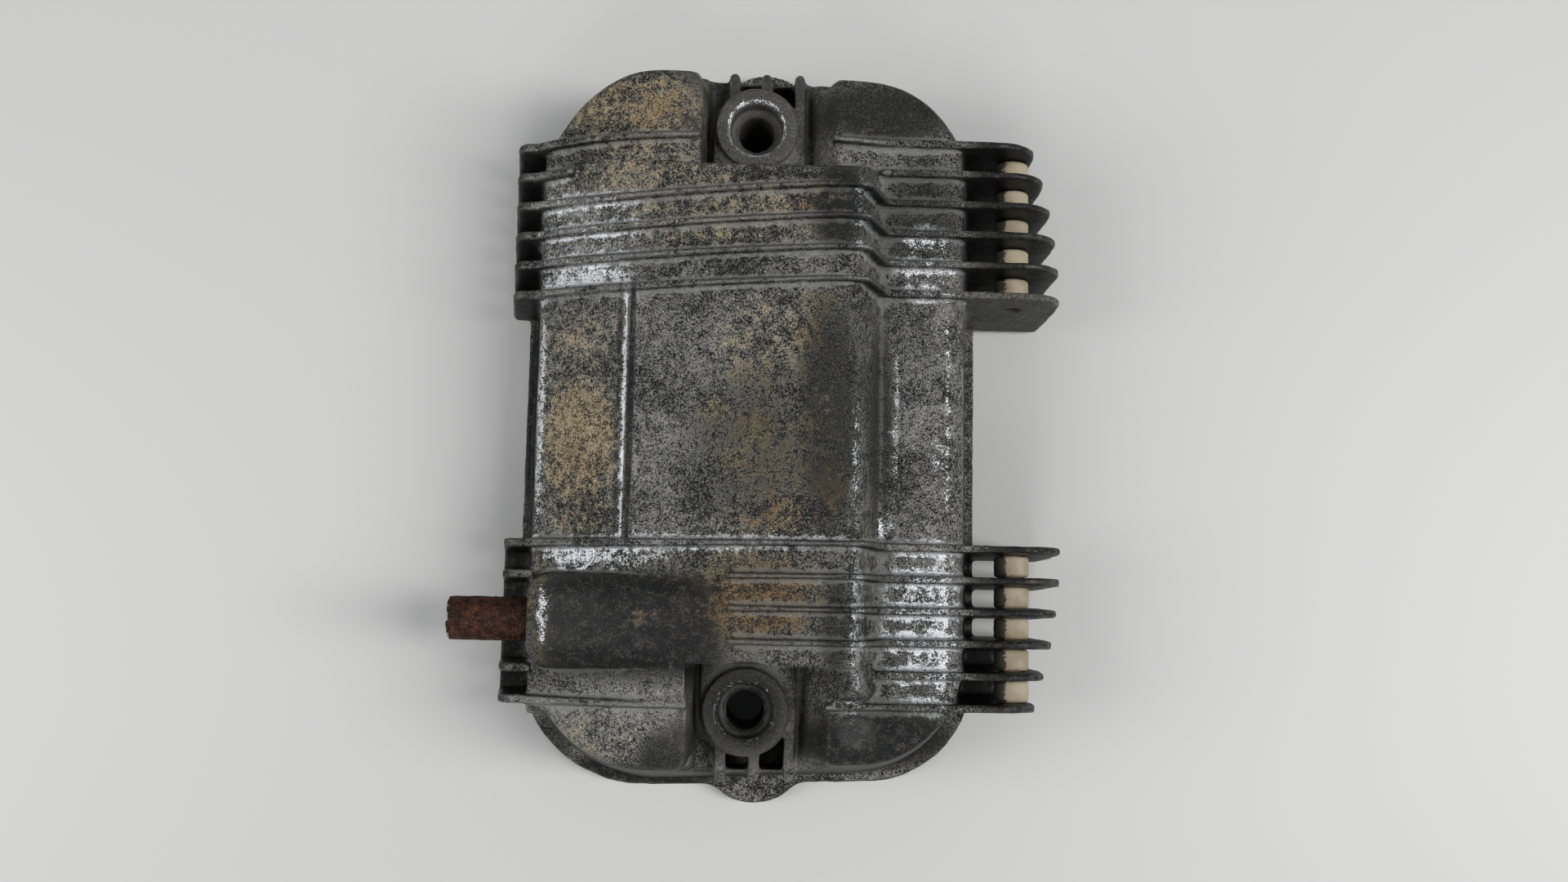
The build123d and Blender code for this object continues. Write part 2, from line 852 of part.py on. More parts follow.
# ---- Four screws that hold the baffle, put in from below --------------------------------------
head_z = baffle_z - baffle_sheet
for number, site in enumerate(screw_sites().locations, start=1):
    with BuildPart() as baffle_screw:
        with BuildSketch(Plane.XY.offset(head_z)):
            with Locations(site):
                Circle(screw_head_radius)
        extrude(amount=-screw_head_height)
        fillet(baffle_screw.edges().group_by(Axis.Z)[0], screw_head_round)
        with BuildSketch(Plane.XY.offset(head_z - screw_head_height)):
            with Locations(site):
                Rectangle(screw_slot_width, 2 * screw_head_radius)
        extrude(amount=screw_slot_depth, mode=Mode.SUBTRACT)
        with BuildSketch(Plane.XY.offset(head_z)):
            with Locations(site):
                Circle(screw_radius)
        extrude(amount=baffle_sheet + screw_length)
        chamfer(baffle_screw.edges().group_by(Axis.Z)[-1], screw_tip_chamfer)
    baffle_screw.part.label = f"baffle_screw_{number}"
    export_step(baffle_screw.part, f"parts/baffle_screw_{number}.step")
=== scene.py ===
"""Looks of a finned engine valve cover: casting, rusty tube, dampers, gasket and baffle."""

import logging
import math
from dataclasses import dataclass, field
from enum import Enum
from typing import Optional, Union

import bmesh
import bpy
import numpy as np
from mathutils import Euler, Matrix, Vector, noise
from mathutils.bvhtree import BVHTree

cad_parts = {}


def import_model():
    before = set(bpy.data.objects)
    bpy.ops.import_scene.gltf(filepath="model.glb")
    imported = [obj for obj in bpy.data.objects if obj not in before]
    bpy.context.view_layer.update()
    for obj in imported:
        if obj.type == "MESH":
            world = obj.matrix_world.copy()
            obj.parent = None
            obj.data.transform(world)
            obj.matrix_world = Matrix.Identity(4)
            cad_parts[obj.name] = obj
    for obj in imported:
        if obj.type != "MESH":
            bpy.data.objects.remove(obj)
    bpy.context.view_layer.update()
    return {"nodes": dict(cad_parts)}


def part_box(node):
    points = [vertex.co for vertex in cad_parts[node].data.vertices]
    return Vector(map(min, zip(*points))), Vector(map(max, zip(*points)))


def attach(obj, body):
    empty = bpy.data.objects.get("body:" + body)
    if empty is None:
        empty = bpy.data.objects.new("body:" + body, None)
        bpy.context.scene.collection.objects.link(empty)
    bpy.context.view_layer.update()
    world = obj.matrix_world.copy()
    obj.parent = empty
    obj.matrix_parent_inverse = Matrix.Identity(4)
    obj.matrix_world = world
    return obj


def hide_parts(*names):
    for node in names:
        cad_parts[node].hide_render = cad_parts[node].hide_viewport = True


MM = 0.001
BODY = "root"
MIDDLE = 0.5  # mean of every noise pattern
MIX_NUMBER, MIX_COLOUR = 0, 2  # places of a Mix node's results
JOIN_REACH = 0.001 * MM  # vertices nearer than this are joined
GOLDEN_TURN = math.pi * (3 - math.sqrt(5))
CORNER_TURNS = tuple(math.radians(angle) for angle in (0, 30, 60, 90))

Colour = tuple[float, float, float]
Place = tuple[float, float, float]
Span = tuple[float, float]
Numbers = np.ndarray
Shape = bmesh.types.BMesh
Mesh = bpy.types.Mesh
Piece = bpy.types.Object
Material = bpy.types.Material

logging.basicConfig(level=logging.INFO, format="%(name)s %(message)s")
log = logging.getLogger("valve_cover")


# ---- Shader maths ----------------------------------------------------


class Wire:
    """An output socket that takes part in ordinary Python expressions."""

    def __init__(self, shop: "NodeShop", socket: bpy.types.NodeSocket) -> None:
        """Keeps the socket and the shop that adds its Math nodes."""
        self.shop = shop
        self.socket = socket

    def _maths(self, operation: str, *values: "Value") -> "Wire":
        """Adds one Math node and returns its result."""
        made = self.shop.node(
            "ShaderNodeMath", {"operation": operation}, dict(enumerate(values))
        )
        return Wire(self.shop, made.outputs[0])

    def __add__(self, other: "Value") -> "Wire":
        """Returns self + other."""
        return self._maths("ADD", self, other)

    __radd__ = __add__

    def __sub__(self, other: "Value") -> "Wire":
        """Returns self - other."""
        return self._maths("SUBTRACT", self, other)

    def __rsub__(self, other: float) -> "Wire":
        """Returns other - self."""
        return self._maths("SUBTRACT", other, self)

    def __mul__(self, other: "Value") -> "Wire":
        """Returns self * other."""
        return self._maths("MULTIPLY", self, other)

    __rmul__ = __mul__

    def at_least(self, other: "Value") -> "Wire":
        """Returns the larger of self and other."""
        return self._maths("MAXIMUM", self, other)

    def step(self, low: "Value", high: "Value") -> "Wire":
        """Rises smoothly from 0 at low to 1 at high."""
        made = self.shop.node(
            "ShaderNodeMapRange",
            {"interpolation_type": "SMOOTHSTEP"},
            {"Value": self, "From Min": low, "From Max": high},
        )
        return Wire(self.shop, made.outputs[0])


Value = Union[Wire, float]
Tint = Union[Wire, Colour]


@dataclass(frozen=True)
class Pattern:
    """A noise pattern: size of its largest features, its finer layers and their strength."""

    size: float
    layers: float
    strength: float


@dataclass(frozen=True)
class Layer:
    """A layer that lies on a surface: its two colours and how densely it covers."""

    dark: Colour
    light: Colour
    cover: float = 1.0


class NodeShop:
    """The node tree of one material, with the one method that adds its nodes."""

    def __init__(self, name: str) -> None:
        """Makes an empty material.

        Args:
            name: The material's name.
        """
        self.material = bpy.data.materials.new(name)
        self.material.use_nodes = True
        self.tree = self.material.node_tree
        self.tree.nodes.clear()

    def node(
        self,
        kind: str,
        settings: Optional[dict[str, object]] = None,
        inputs: Optional[dict[Union[str, int], object]] = None,
    ) -> bpy.types.Node:
        """Adds a node.

        Args:
            kind: The node's type.
            settings: Properties that are set first.
            inputs: Values or wires by socket identifier, name or number.

        Returns:
            The new node.
        """
        made = self.tree.nodes.new(kind)
        for name, value in (settings or {}).items():
            setattr(made, name, value)
        for key, value in (inputs or {}).items():
            socket = self._input(made, key)
            if isinstance(value, Wire):
                self.tree.links.new(value.socket, socket)
            elif socket.type == "RGBA":
                socket.default_value = (*value, 1.0)
            else:
                socket.default_value = value
        return made

    @staticmethod
    def _input(made: bpy.types.Node, key: Union[str, int]) -> bpy.types.NodeSocket:
        """Finds an input socket by number, identifier or name."""
        if isinstance(key, int):
            return made.inputs[key]
        for socket in made.inputs:
            if socket.identifier == key:
                return socket
        return made.inputs[key]

    def place(self, stretch: Place = (1, 1, 1)) -> Wire:
        """Object coordinates, squeezed by stretch along each axis."""
        spot = Wire(self, self.node("ShaderNodeTexCoord").outputs["Object"])
        made = self.node("ShaderNodeMapping", {}, {"Vector": spot, "Scale": stretch})
        return Wire(self, made.outputs[0])

    def noise(self, spot: Wire, pattern: Pattern) -> Wire:
        """Value of a noise pattern at spot, around 0.5."""
        made = self.node(
            "ShaderNodeTexNoise",
            {},
            {
                "Vector": spot,
                "Scale": 1 / pattern.size,
                "Detail": pattern.layers,
                "Roughness": pattern.strength,
            },
        )
        return Wire(self, made.outputs["Fac"])

    def cells(self, spot: Wire, size: float) -> Wire:
        """Distance from scattered points that lie about size apart."""
        made = self.node("ShaderNodeTexVoronoi", {}, {"Vector": spot, "Scale": 1 / size})
        return Wire(self, made.outputs["Distance"])

    def painted(self, kind: Enum) -> Wire:
        """Amount of a stain or a mark, as stored on the mesh."""
        made = self.node("ShaderNodeAttribute", {"attribute_name": kind.value})
        return Wire(self, made.outputs["Fac"])

    def cover(self, mask: Value, under: Tint, over: Tint) -> Wire:
        """Lays one colour over another where the mask is 1."""
        made = self.node(
            "ShaderNodeMix",
            {"data_type": "RGBA"},
            {"Factor_Float": mask, "A_Color": under, "B_Color": over},
        )
        return Wire(self, made.outputs[MIX_COLOUR])

    def lay(self, layer: Layer, mask: Value, tone: Value, under: Tint) -> Wire:
        """Lays a layer over a colour; its tone goes from dark at 0 to light at 1."""
        return self.cover(mask * layer.cover, under, self.cover(tone, layer.dark, layer.light))

    def level(self, mask: Value, under: Value, over: Value) -> Wire:
        """Goes from one number to another as the mask goes from 0 to 1."""
        made = self.node(
            "ShaderNodeMix",
            {"data_type": "FLOAT"},
            {"Factor_Float": mask, "A_Float": under, "B_Float": over},
        )
        return Wire(self, made.outputs[MIX_NUMBER])

    def relief(self, height: Value, depth: float, below: Optional[Wire] = None) -> Wire:
        """Normal bent by a height of some depth, over the coarser relief below it."""
        inputs: dict[Union[str, int], object] = {"Height": height, "Distance": depth}
        if below is not None:
            inputs["Normal"] = below
        return Wire(self, self.node("ShaderNodeBump", {}, inputs).outputs[0])

    def finish(self, **sockets: object) -> Material:
        """Closes the tree with a surface shader.

        Args:
            sockets: Its inputs, with underscores for spaces.

        Returns:
            The material.
        """
        inputs = {name.replace("_", " "): value for name, value in sockets.items()}
        shader = self.node("ShaderNodeBsdfPrincipled", {}, inputs)
        output = self.node("ShaderNodeOutputMaterial")
        self.tree.links.new(shader.outputs[0], output.inputs["Surface"])
        return self.material


# ---- Stains, wear, light and shade that are painted on the casting ---


def smooth_rise(values: Numbers, low: float, high: float) -> Numbers:
    """Rises smoothly from 0 at low to 1 at high, for whole arrays."""
    share = np.clip((values - low) / (high - low), 0.0, 1.0)
    return share * share * (3 - 2 * share)


class StainAndLight(Enum):
    """Kinds of stain and of painted light and shade, each stored on the mesh under its value."""

    # pale oxide; on the shelf right of the crown it also stands in for glints, as painted
    # highlight
    PALE = "pale_oxide_and_highlight"
    EARTH = "earth_dirt"
    RUST = "rust_stain"
    # dark skin, and painted shade beside the roof's rib, on the flange between the left fins and
    # along the lobes' lower edges
    FILM_AND_SHADE = "dark_film_and_shade"
    # worn bare metal, and painted highlights where edges catch the light
    POLISH_AND_HIGHLIGHT = "bare_polish_and_highlight"
    # painted light: lifts shaded bosses, pockets and the lit face of a fin
    PAINTED_LIGHT = "painted_light"


class Mark(Enum):
    """Amounts measured from the shape of a mesh, each stored under its value."""

    RIDGE = "worn_ridge"
    # fillet feet: worn, and lighter as painted light where they catch the light
    FOOT = "worn_lit_foot"
    # nooks get painted shade on the casting
    NOOK = "deep_nook"
    INSIDE = "inner_wall"
    # steep walls get painted shade on the casting
    STEEP = "steep_wall"
    # grime on the dampers' ends, and black on their side by the housing that is partly painted
    # shade
    SOOTED_AND_SHADED = "sooted_and_shaded"


@dataclass(frozen=True)
class Patch:
    """An oval patch of a stain, of painted light or of painted shade, seen from above, in
    millimetres; a higher power squares it off.
    """

    x: float
    y: float
    reach_x: float
    reach_y: float
    strength: float
    power: float = 2.0
    fade: Span = (0.45, 1.35)

    def amount(self, places: Numbers) -> Numbers:
        """How strongly it lies on each of the places, in millimetres, one a row."""
        across = np.abs(places[:, 0] - self.x) / self.reach_x
        along = np.abs(places[:, 1] - self.y) / self.reach_y
        away = (across**self.power + along**self.power) ** (1 / self.power)
        return self.strength * (1 - smooth_rise(away, *self.fade))


@dataclass(frozen=True)
class Seat:
    """Worn mouth of a bolt seat with a painted highlight on its rim, in millimetres."""

    y: float
    strength: float
    radius: float = 7.75
    width: float = 0.5
    lowest: float = 37.0
    fade: Span = (0.5, 1.5)

    def amount(self, places: Numbers) -> Numbers:
        """How strongly it is worn and highlit at each of the places, in millimetres, one a row.
        """
        away = np.abs(np.hypot(places[:, 0], places[:, 1] - self.y) - self.radius)
        ring = 1 - smooth_rise(away / self.width, *self.fade)
        return self.strength * ring * (places[:, 2] > self.lowest)


STAINS_AND_LIGHT: dict[StainAndLight, tuple[Union[Patch, Seat], ...]] = {
    StainAndLight.PALE: (
        # left lobes
        Patch(-36, -83, 22, 12, 1.0),
        Patch(-38, -84, 13, 8, 1.0),
        Patch(-28, -73, 25, 5, 0.9),
        Patch(-30, 84, 16, 8, 0.35),
        # left of the roof's rib
        Patch(-46, 7, 11, 28, 0.75),
        Patch(-47, -10, 10, 18, 0.9),
        # left of the crown
        Patch(-21, -20, 12, 20, 0.4),
        Patch(-20, 21, 14, 12, 0.4),
        Patch(-33, 50, 24, 17, 0.8),
        # shelf right of the crown: pale grains that also stand in for its glints, as painted
        # highlight
        Patch(46, 20, 10, 16, 0.95),
        Patch(46, -14, 10, 22, 0.8),
        Patch(47, -52, 12, 24, 0.75),
        Patch(44, 50, 12, 20, 0.2),
    ),
    StainAndLight.EARTH: (
        # left lobes
        Patch(-32, 80, 24, 14, 0.75),
        Patch(-38, -87, 14, 8, 0.3),
        # top between the upper fins
        Patch(-30, 62, 26, 8, 0.55),
        Patch(-8, 52, 30, 14, 0.55),
        Patch(16, 53, 9, 7, 0.5),
        # left of the roof's rib
        Patch(-46, -9, 12, 21, 1.0),
        Patch(-47, 16, 11, 14, 0.5),
        Patch(-44, -27, 10, 8, 0.65),
        # washes and spots on the crown
        Patch(4, -12, 17, 14, 0.5),
        Patch(16, -18, 7, 14, 0.55),
        Patch(4, -30, 19, 7, 0.5),
        Patch(4, 14, 14, 16, 0.4),
        Patch(1, -6, 6, 5, 1.0),
        Patch(14, 18, 5, 5, 0.9),
        Patch(20, -21, 5, 8, 0.95),
        Patch(9, -28, 7, 4, 0.95),
        Patch(-9, -1, 5, 4, 0.75),
        Patch(16, -6, 5, 4, 0.9),
        Patch(-4, -14, 5, 4, 0.85),
        Patch(17, 26, 6, 5, 0.6),
        # both ends of the breather chamber
        Patch(0, -48, 22, 14, 0.85),
        Patch(-55, -48, 4, 10, 0.7),
        Patch(-53, -56, 3, 14, 0.8),
    ),
    StainAndLight.RUST: (
        Patch(-46, -12, 5, 8, 0.38),
        Patch(2, -50, 15, 10, 0.75),
        Patch(-27, -54, 3.5, 2.5, 0.6),
        Patch(15, 0, 7, 7, 0.35),
        Patch(9, -28, 13, 7, 0.45),
        Patch(15, 54, 8, 5, 0.6),
        Patch(-28, 82, 12, 7, 0.35),
    ),
    StainAndLight.FILM_AND_SHADE: (
        # breather chamber, squared off
        Patch(-30, -56.3, 26, 14.5, 1.0, 6),
        # crown and its right edge
        Patch(20, -4, 10, 38, 0.58),
        Patch(4, -12, 24, 26, 0.36),
        Patch(-2, -50, 26, 16, 0.36),
        Patch(22, -55, 5, 16, 0.6),
        Patch(22, 52, 9, 14, 0.75),
        Patch(34, -2, 4, 34, 0.55),
        # shelf right of the crown
        Patch(45, 54, 12, 18, 0.52),
        Patch(46, -58, 10, 22, 0.42),
        # lobes at both ends, with painted shade along the lower edges
        Patch(36, -86, 24, 10, 0.95),
        Patch(34, 82, 22, 9, 0.7),
        Patch(-17, -88, 5, 9, 0.5),
        Patch(-28, -98, 22, 6, 1.0),
        Patch(-21, -91, 8, 9, 0.65),
        Patch(-54, -90, 6, 10, 0.45),
        # bolt bosses
        Patch(-2, 92, 22, 10, 0.4),
        Patch(0, 78, 13, 13, 0.35),
        Patch(0, -78, 13, 13, 0.8),
        # fin tips on both sides, and the flange between them, partly as painted shade
        Patch(74, 60, 17, 26, 1.0, 4),
        Patch(74, -56, 17, 36, 1.0),
        Patch(-68, 53, 6, 34, 0.9),
        Patch(-68, -56, 6, 34, 0.9),
        Patch(-62, 0, 2.5, 40, 1.0),
        # painted shade on both sides of the roof's rib
        Patch(-31.7, 0, 0.9, 44, 1.0),
        Patch(-35.3, 0, 0.7, 44, 0.8),
    ),
    StainAndLight.POLISH_AND_HIGHLIGHT: (
        # bare metal and painted highlight beside the innermost fins on the left
        Patch(-45, 36, 14, 2.6, 0.85),
        Patch(-46, 50, 18, 16, 0.34),
        Patch(-46, -39, 10, 3.2, 0.72),
        Patch(-43, -39, 11, 1.8, 0.85),
        Patch(-36, -39, 18, 3.2, 0.5),
        Patch(-10, -34, 42, 5, 0.22),
        # painted highlights on the left roof edge, the rib and the end of the chamber
        Patch(-57, -1, 1.8, 34, 0.7),
        Patch(-33.5, 0, 0.5, 44, 1.0),
        Patch(-53, -54, 1.5, 8, 0.7),
        # painted highlight along the right edge of the crown
        Patch(27.5, -14, 2.0, 26, 0.42),
        Patch(27.5, -58, 2.0, 26, 0.5),
        Patch(28, 50, 3, 18, 0.3),
        # painted highlight lines and bare metal on the shelf right of the crown
        Patch(47, -54, 12, 24, 0.44),
        Patch(51, -54, 1.6, 24, 0.75),
        Patch(46, 40, 9, 12, 0.35),
        Patch(38.6, 0, 0.8, 24, 0.62),
        Patch(52.0, 0, 0.9, 32, 0.60),
        Patch(57.0, 0, 0.7, 36, 0.60),
        Patch(50, -12, 2.6, 9, 0.40),
        Patch(36, -29, 3, 5, 0.45),
        # worn mouths of the bolt seats, with a painted highlight on the rim
        Seat(78.3, 0.62),
        Seat(-78.3, 0.25),
    ),
    StainAndLight.PAINTED_LIGHT: (
        # painted light on the lit face of the innermost fin of the upper group, then on the
        # shaded bosses and their webs
        Patch(71, 31, 18, 5, 0.8, 4),
        Patch(0, 80, 20, 16, 1.0),
        Patch(0, -80, 20, 16, 0.75),
        Patch(2, -91, 14, 5, 1.0),
        Patch(4, 91, 14, 5, 1.0),
    ),
}


def stain_and_light_amount(stain: StainAndLight, points: Numbers) -> Numbers:
    """How strongly one of the painted kinds lies on each of the points, in metres, one a row."""
    places = points / MM
    return np.maximum.reduce([spread.amount(places) for spread in STAINS_AND_LIGHT[stain]])


# ---- Mesh helpers ----------------------------------------------------


def linked(name: str, mesh: Mesh) -> Piece:
    """Puts a mesh in the scene as an object at the origin."""
    piece = bpy.data.objects.new(name, mesh)
    bpy.context.scene.collection.objects.link(piece)
    return piece


def made_from(shape: Shape, name: str) -> Piece:
    """Turns a finished shape into a new piece and frees it."""
    mesh = bpy.data.meshes.new(name)
    shape.to_mesh(mesh)
    shape.free()
    return linked(name, mesh)


def merged_copy(node: Piece, name: str) -> Piece:
    """Makes a new piece from a frame node's mesh, with its loose triangles joined."""
    shape = bmesh.new()
    shape.from_mesh(node.data)
    bmesh.ops.remove_doubles(shape, verts=shape.verts, dist=JOIN_REACH)
    return made_from(shape, name)


def settle(piece: Piece) -> None:
    """Applies a piece's modifiers to its mesh."""
    graph = bpy.context.evaluated_depsgraph_get()
    shaped = bpy.data.meshes.new_from_object(piece.evaluated_get(graph))
    piece.modifiers.clear()
    rough = piece.data
    piece.data = shaped
    bpy.data.meshes.remove(rough)
    shaped.name = piece.name


def add_even_grid(piece: Piece, spacing: float) -> None:
    """Adds the modifier that meshes a piece again with even squares."""
    remesh = piece.modifiers.new("even_grid", "REMESH")
    remesh.mode = "VOXEL"
    remesh.voxel_size = spacing


@dataclass(frozen=True)
class Lumps:
    """Unevenness of a surface: width, height, finer layers and the level that stays put."""

    name: str
    size: float
    depth: float
    layers: int = 2
    still_level: float = MIDDLE

    def add_to(self, piece: Piece) -> None:
        """Adds the modifier that pushes a piece's surface in and out."""
        pattern = bpy.data.textures.new(self.name, "CLOUDS")
        pattern.noise_scale = self.size
        pattern.noise_depth = self.layers
        push = piece.modifiers.new(self.name, "DISPLACE")
        push.texture = pattern
        push.texture_coords = "LOCAL"
        push.strength = self.depth
        push.mid_level = self.still_level


def points_of(mesh: Mesh, what: str = "co") -> Numbers:
    """Vertex places, or normals if what is "normal", one a row."""
    flat = np.empty(len(mesh.vertices) * 3)
    mesh.vertices.foreach_get(what, flat)
    return flat.reshape(-1, 3)


def store(mesh: Mesh, kind: Union[StainAndLight, Mark], amounts: Numbers) -> None:
    """Stores the amount of a stain or a mark at each vertex of a mesh."""
    layer = mesh.attributes.new(kind.value, "FLOAT", "POINT")
    layer.data.foreach_set("value", amounts.astype(np.float32))


def edge_ends(mesh: Mesh) -> Numbers:
    """The two vertices of each edge, one edge a row."""
    ends = np.empty(len(mesh.edges) * 2, dtype=np.int64)
    mesh.edges.foreach_get("vertices", ends)
    return ends.reshape(-1, 2)


def neighbour_mean(values: Numbers, ends: Numbers) -> Numbers:
    """Averages values over the neighbours of each vertex.

    Args:
        values: One row per vertex.
        ends: The mesh's edges.

    Returns:
        The averages, in the same layout.
    """
    count = np.bincount(ends.ravel(), minlength=len(values)).clip(min=1)
    columns = values.reshape(len(values), -1)
    summed = np.stack(
        [
            np.bincount(ends[:, 0], column[ends[:, 1]], len(values))
            + np.bincount(ends[:, 1], column[ends[:, 0]], len(values))
            for column in columns.T
        ],
        axis=1,
    )
    return (summed / count[:, None]).reshape(values.shape)


def bulge_of(mesh: Mesh, spacing: float, passes: int) -> Numbers:
    """How sharply the surface bulges at each vertex.

    Args:
        mesh: An evenly meshed surface.
        spacing: Its edge length.
        passes: How often the result is smoothed.

    Returns:
        Positive on ridges, negative in corners, about 0 on flats.
    """
    points = points_of(mesh)
    ends = edge_ends(mesh)
    pull = points - neighbour_mean(points, ends)
    bulge = np.einsum("ij,ij->i", pull, points_of(mesh, "normal")) / spacing
    for _ in range(passes):
        bulge = neighbour_mean(bulge, ends)
    return bulge


def even_directions(count: int) -> list[Vector]:
    """Directions spread evenly over a ball, along a spiral."""
    directions = []
    for number in range(count):
        height = 1 - (2 * number + 1) / count
        ring = math.sqrt(1 - height * height)
        turn = GOLDEN_TURN * number
        directions.append(Vector((ring * math.cos(turn), ring * math.sin(turn), height)))
    return directions


def spun(profile: list[Span], centre: Vector, along: int, steps: int) -> Shape:
    """Spins a profile about an axis.

    Args:
        profile: Pairs of the place along the axis and the radius there; it is open if it starts
            on the axis, and a closed ring otherwise.
        centre: A point of the axis.
        along: The axis, 0 for X or 1 for Y.
        steps: Number of steps in a whole turn.

    Returns:
        The spun shape.
    """
    shape = bmesh.new()
    verts = []
    for place, radius in profile:
        spot = Vector((centre.x, centre.y, centre.z + radius))
        spot[along] = place
        verts.append(shape.verts.new(spot))
    closed = profile[0][1] > 0
    following = verts[1:] + verts[:1] if closed else verts[1:]
    edges = [shape.edges.new(pair) for pair in zip(verts, following)]
    axis = Vector((0, 0, 0))
    axis[along] = 1
    bmesh.ops.spin(
        shape,
        geom=verts + edges,
        cent=centre,
        axis=axis,
        angle=2 * math.pi,
        steps=steps,
        use_merge=True,
    )
    return shape


def shade_smooth(mesh: Mesh) -> None:
    """Sets every face of a mesh smooth."""
    mesh.polygons.foreach_set("use_smooth", np.ones(len(mesh.polygons), dtype=bool))


def dress(piece: Piece, material: Material) -> None:
    """Gives the whole piece one material."""
    piece.data.materials.clear()
    piece.data.materials.append(material)


def dress_node(node: Piece, material: Material) -> None:
    """Gives a frame node one material through its object's slots."""
    for holder in node.material_slots:
        holder.link = "OBJECT"
        holder.material = material


# ---- Finish of the casting -------------------------------------------


@dataclass(frozen=True)
class Blend:
    """Shares of an amount and of the skin's patterns in a mask, and where the mask rises."""

    rise: Span
    amount: float = 0.0
    grain: float = 0.0
    clumps: float = 0.0
    clouds: float = 0.0
    pale: float = 0.0


class CastShop(NodeShop):
    """Node tree of the casting: its skin's patterns, around 0, and its masks, from 0 to 1."""

    def __init__(self, look: "WeatheredCasting") -> None:
        """Makes the patterns, then the masks of all that lies or shows on the skin.

        Args:
            look: Their sizes and shares.
        """
        super().__init__("weathered_casting")
        spot = self.place()
        self.clumps = self.noise(spot, look.clumps) - MIDDLE
        self.clouds = self.noise(spot, look.clouds) - MIDDLE
        pores = (self.noise(spot, look.pores) - MIDDLE) * look.pore_share
        grains = (self.noise(spot, look.grains) - MIDDLE) * look.grain_share
        self.grain = pores + grains + self.clumps * look.clump_share
        self.pale = self.painted(StainAndLight.PALE) * look.pale_share + self.clouds * look.pale_clouds

        polish_and_highlight = self.painted(StainAndLight.POLISH_AND_HIGHLIGHT)
        # painted light, which lifts shaded places
        self.lightened = self.painted(StainAndLight.PAINTED_LIGHT)
        self.tone = self.mask(look.tone_blend)
        self.fine = self.mask(look.fine_blend)
        self.earth = self._stain(StainAndLight.EARTH, look.stain_blend, look.stain_onset)
        self.rust = self._stain(StainAndLight.RUST, look.stain_blend, look.stain_onset)
        self.film_and_shade = self._stain(StainAndLight.FILM_AND_SHADE, look.film_blend, look.film_onset)
        self.feet = self.mask(look.foot_blend, self.painted(Mark.FOOT))
        self.crest = self.mask(look.crest_blend, self.painted(Mark.RIDGE))
        self.clean = self.crest.at_least(self.feet).at_least(polish_and_highlight * look.polish_clean)
        self.bared_and_highlit = self.mask(look.bared_blend, polish_and_highlight + self.feet * look.feet_bared)
        self.bared_and_highlit = self.bared_and_highlit * polish_and_highlight.step(*look.polish_onset)
        self.glints = self.mask(look.glint_blend, polish_and_highlight)
        filled = (self.tone - MIDDLE) * look.tone_fills + self.clean * look.clean_fills
        self.pits = 1 - self.mask(look.solid_blend, filled)

    def mask(self, blend: Blend, amount: Value = 0.0) -> Wire:
        """Tears an amount up into a mask.

        Args:
            blend: Shares of the amount and of the patterns.
            amount: What is torn up, from 0 to 1.

        Returns:
            The mask.
        """
        patterns = (amount, self.grain, self.clumps, self.clouds, self.pale)
        shares = (blend.amount, blend.grain, blend.clumps, blend.clouds, blend.pale)
        parts = [pattern * share for pattern, share in zip(patterns, shares) if share]
        return sum(parts).step(*blend.rise)

    def _stain(self, stain: StainAndLight, blend: Blend, onset: Span) -> Wire:
        """Tears up a painted stain, also the dark skin with its painted shade, and fades it out
        where there is hardly any.
        """
        amount = self.painted(stain)
        return self.mask(blend, amount) * amount.step(*onset)


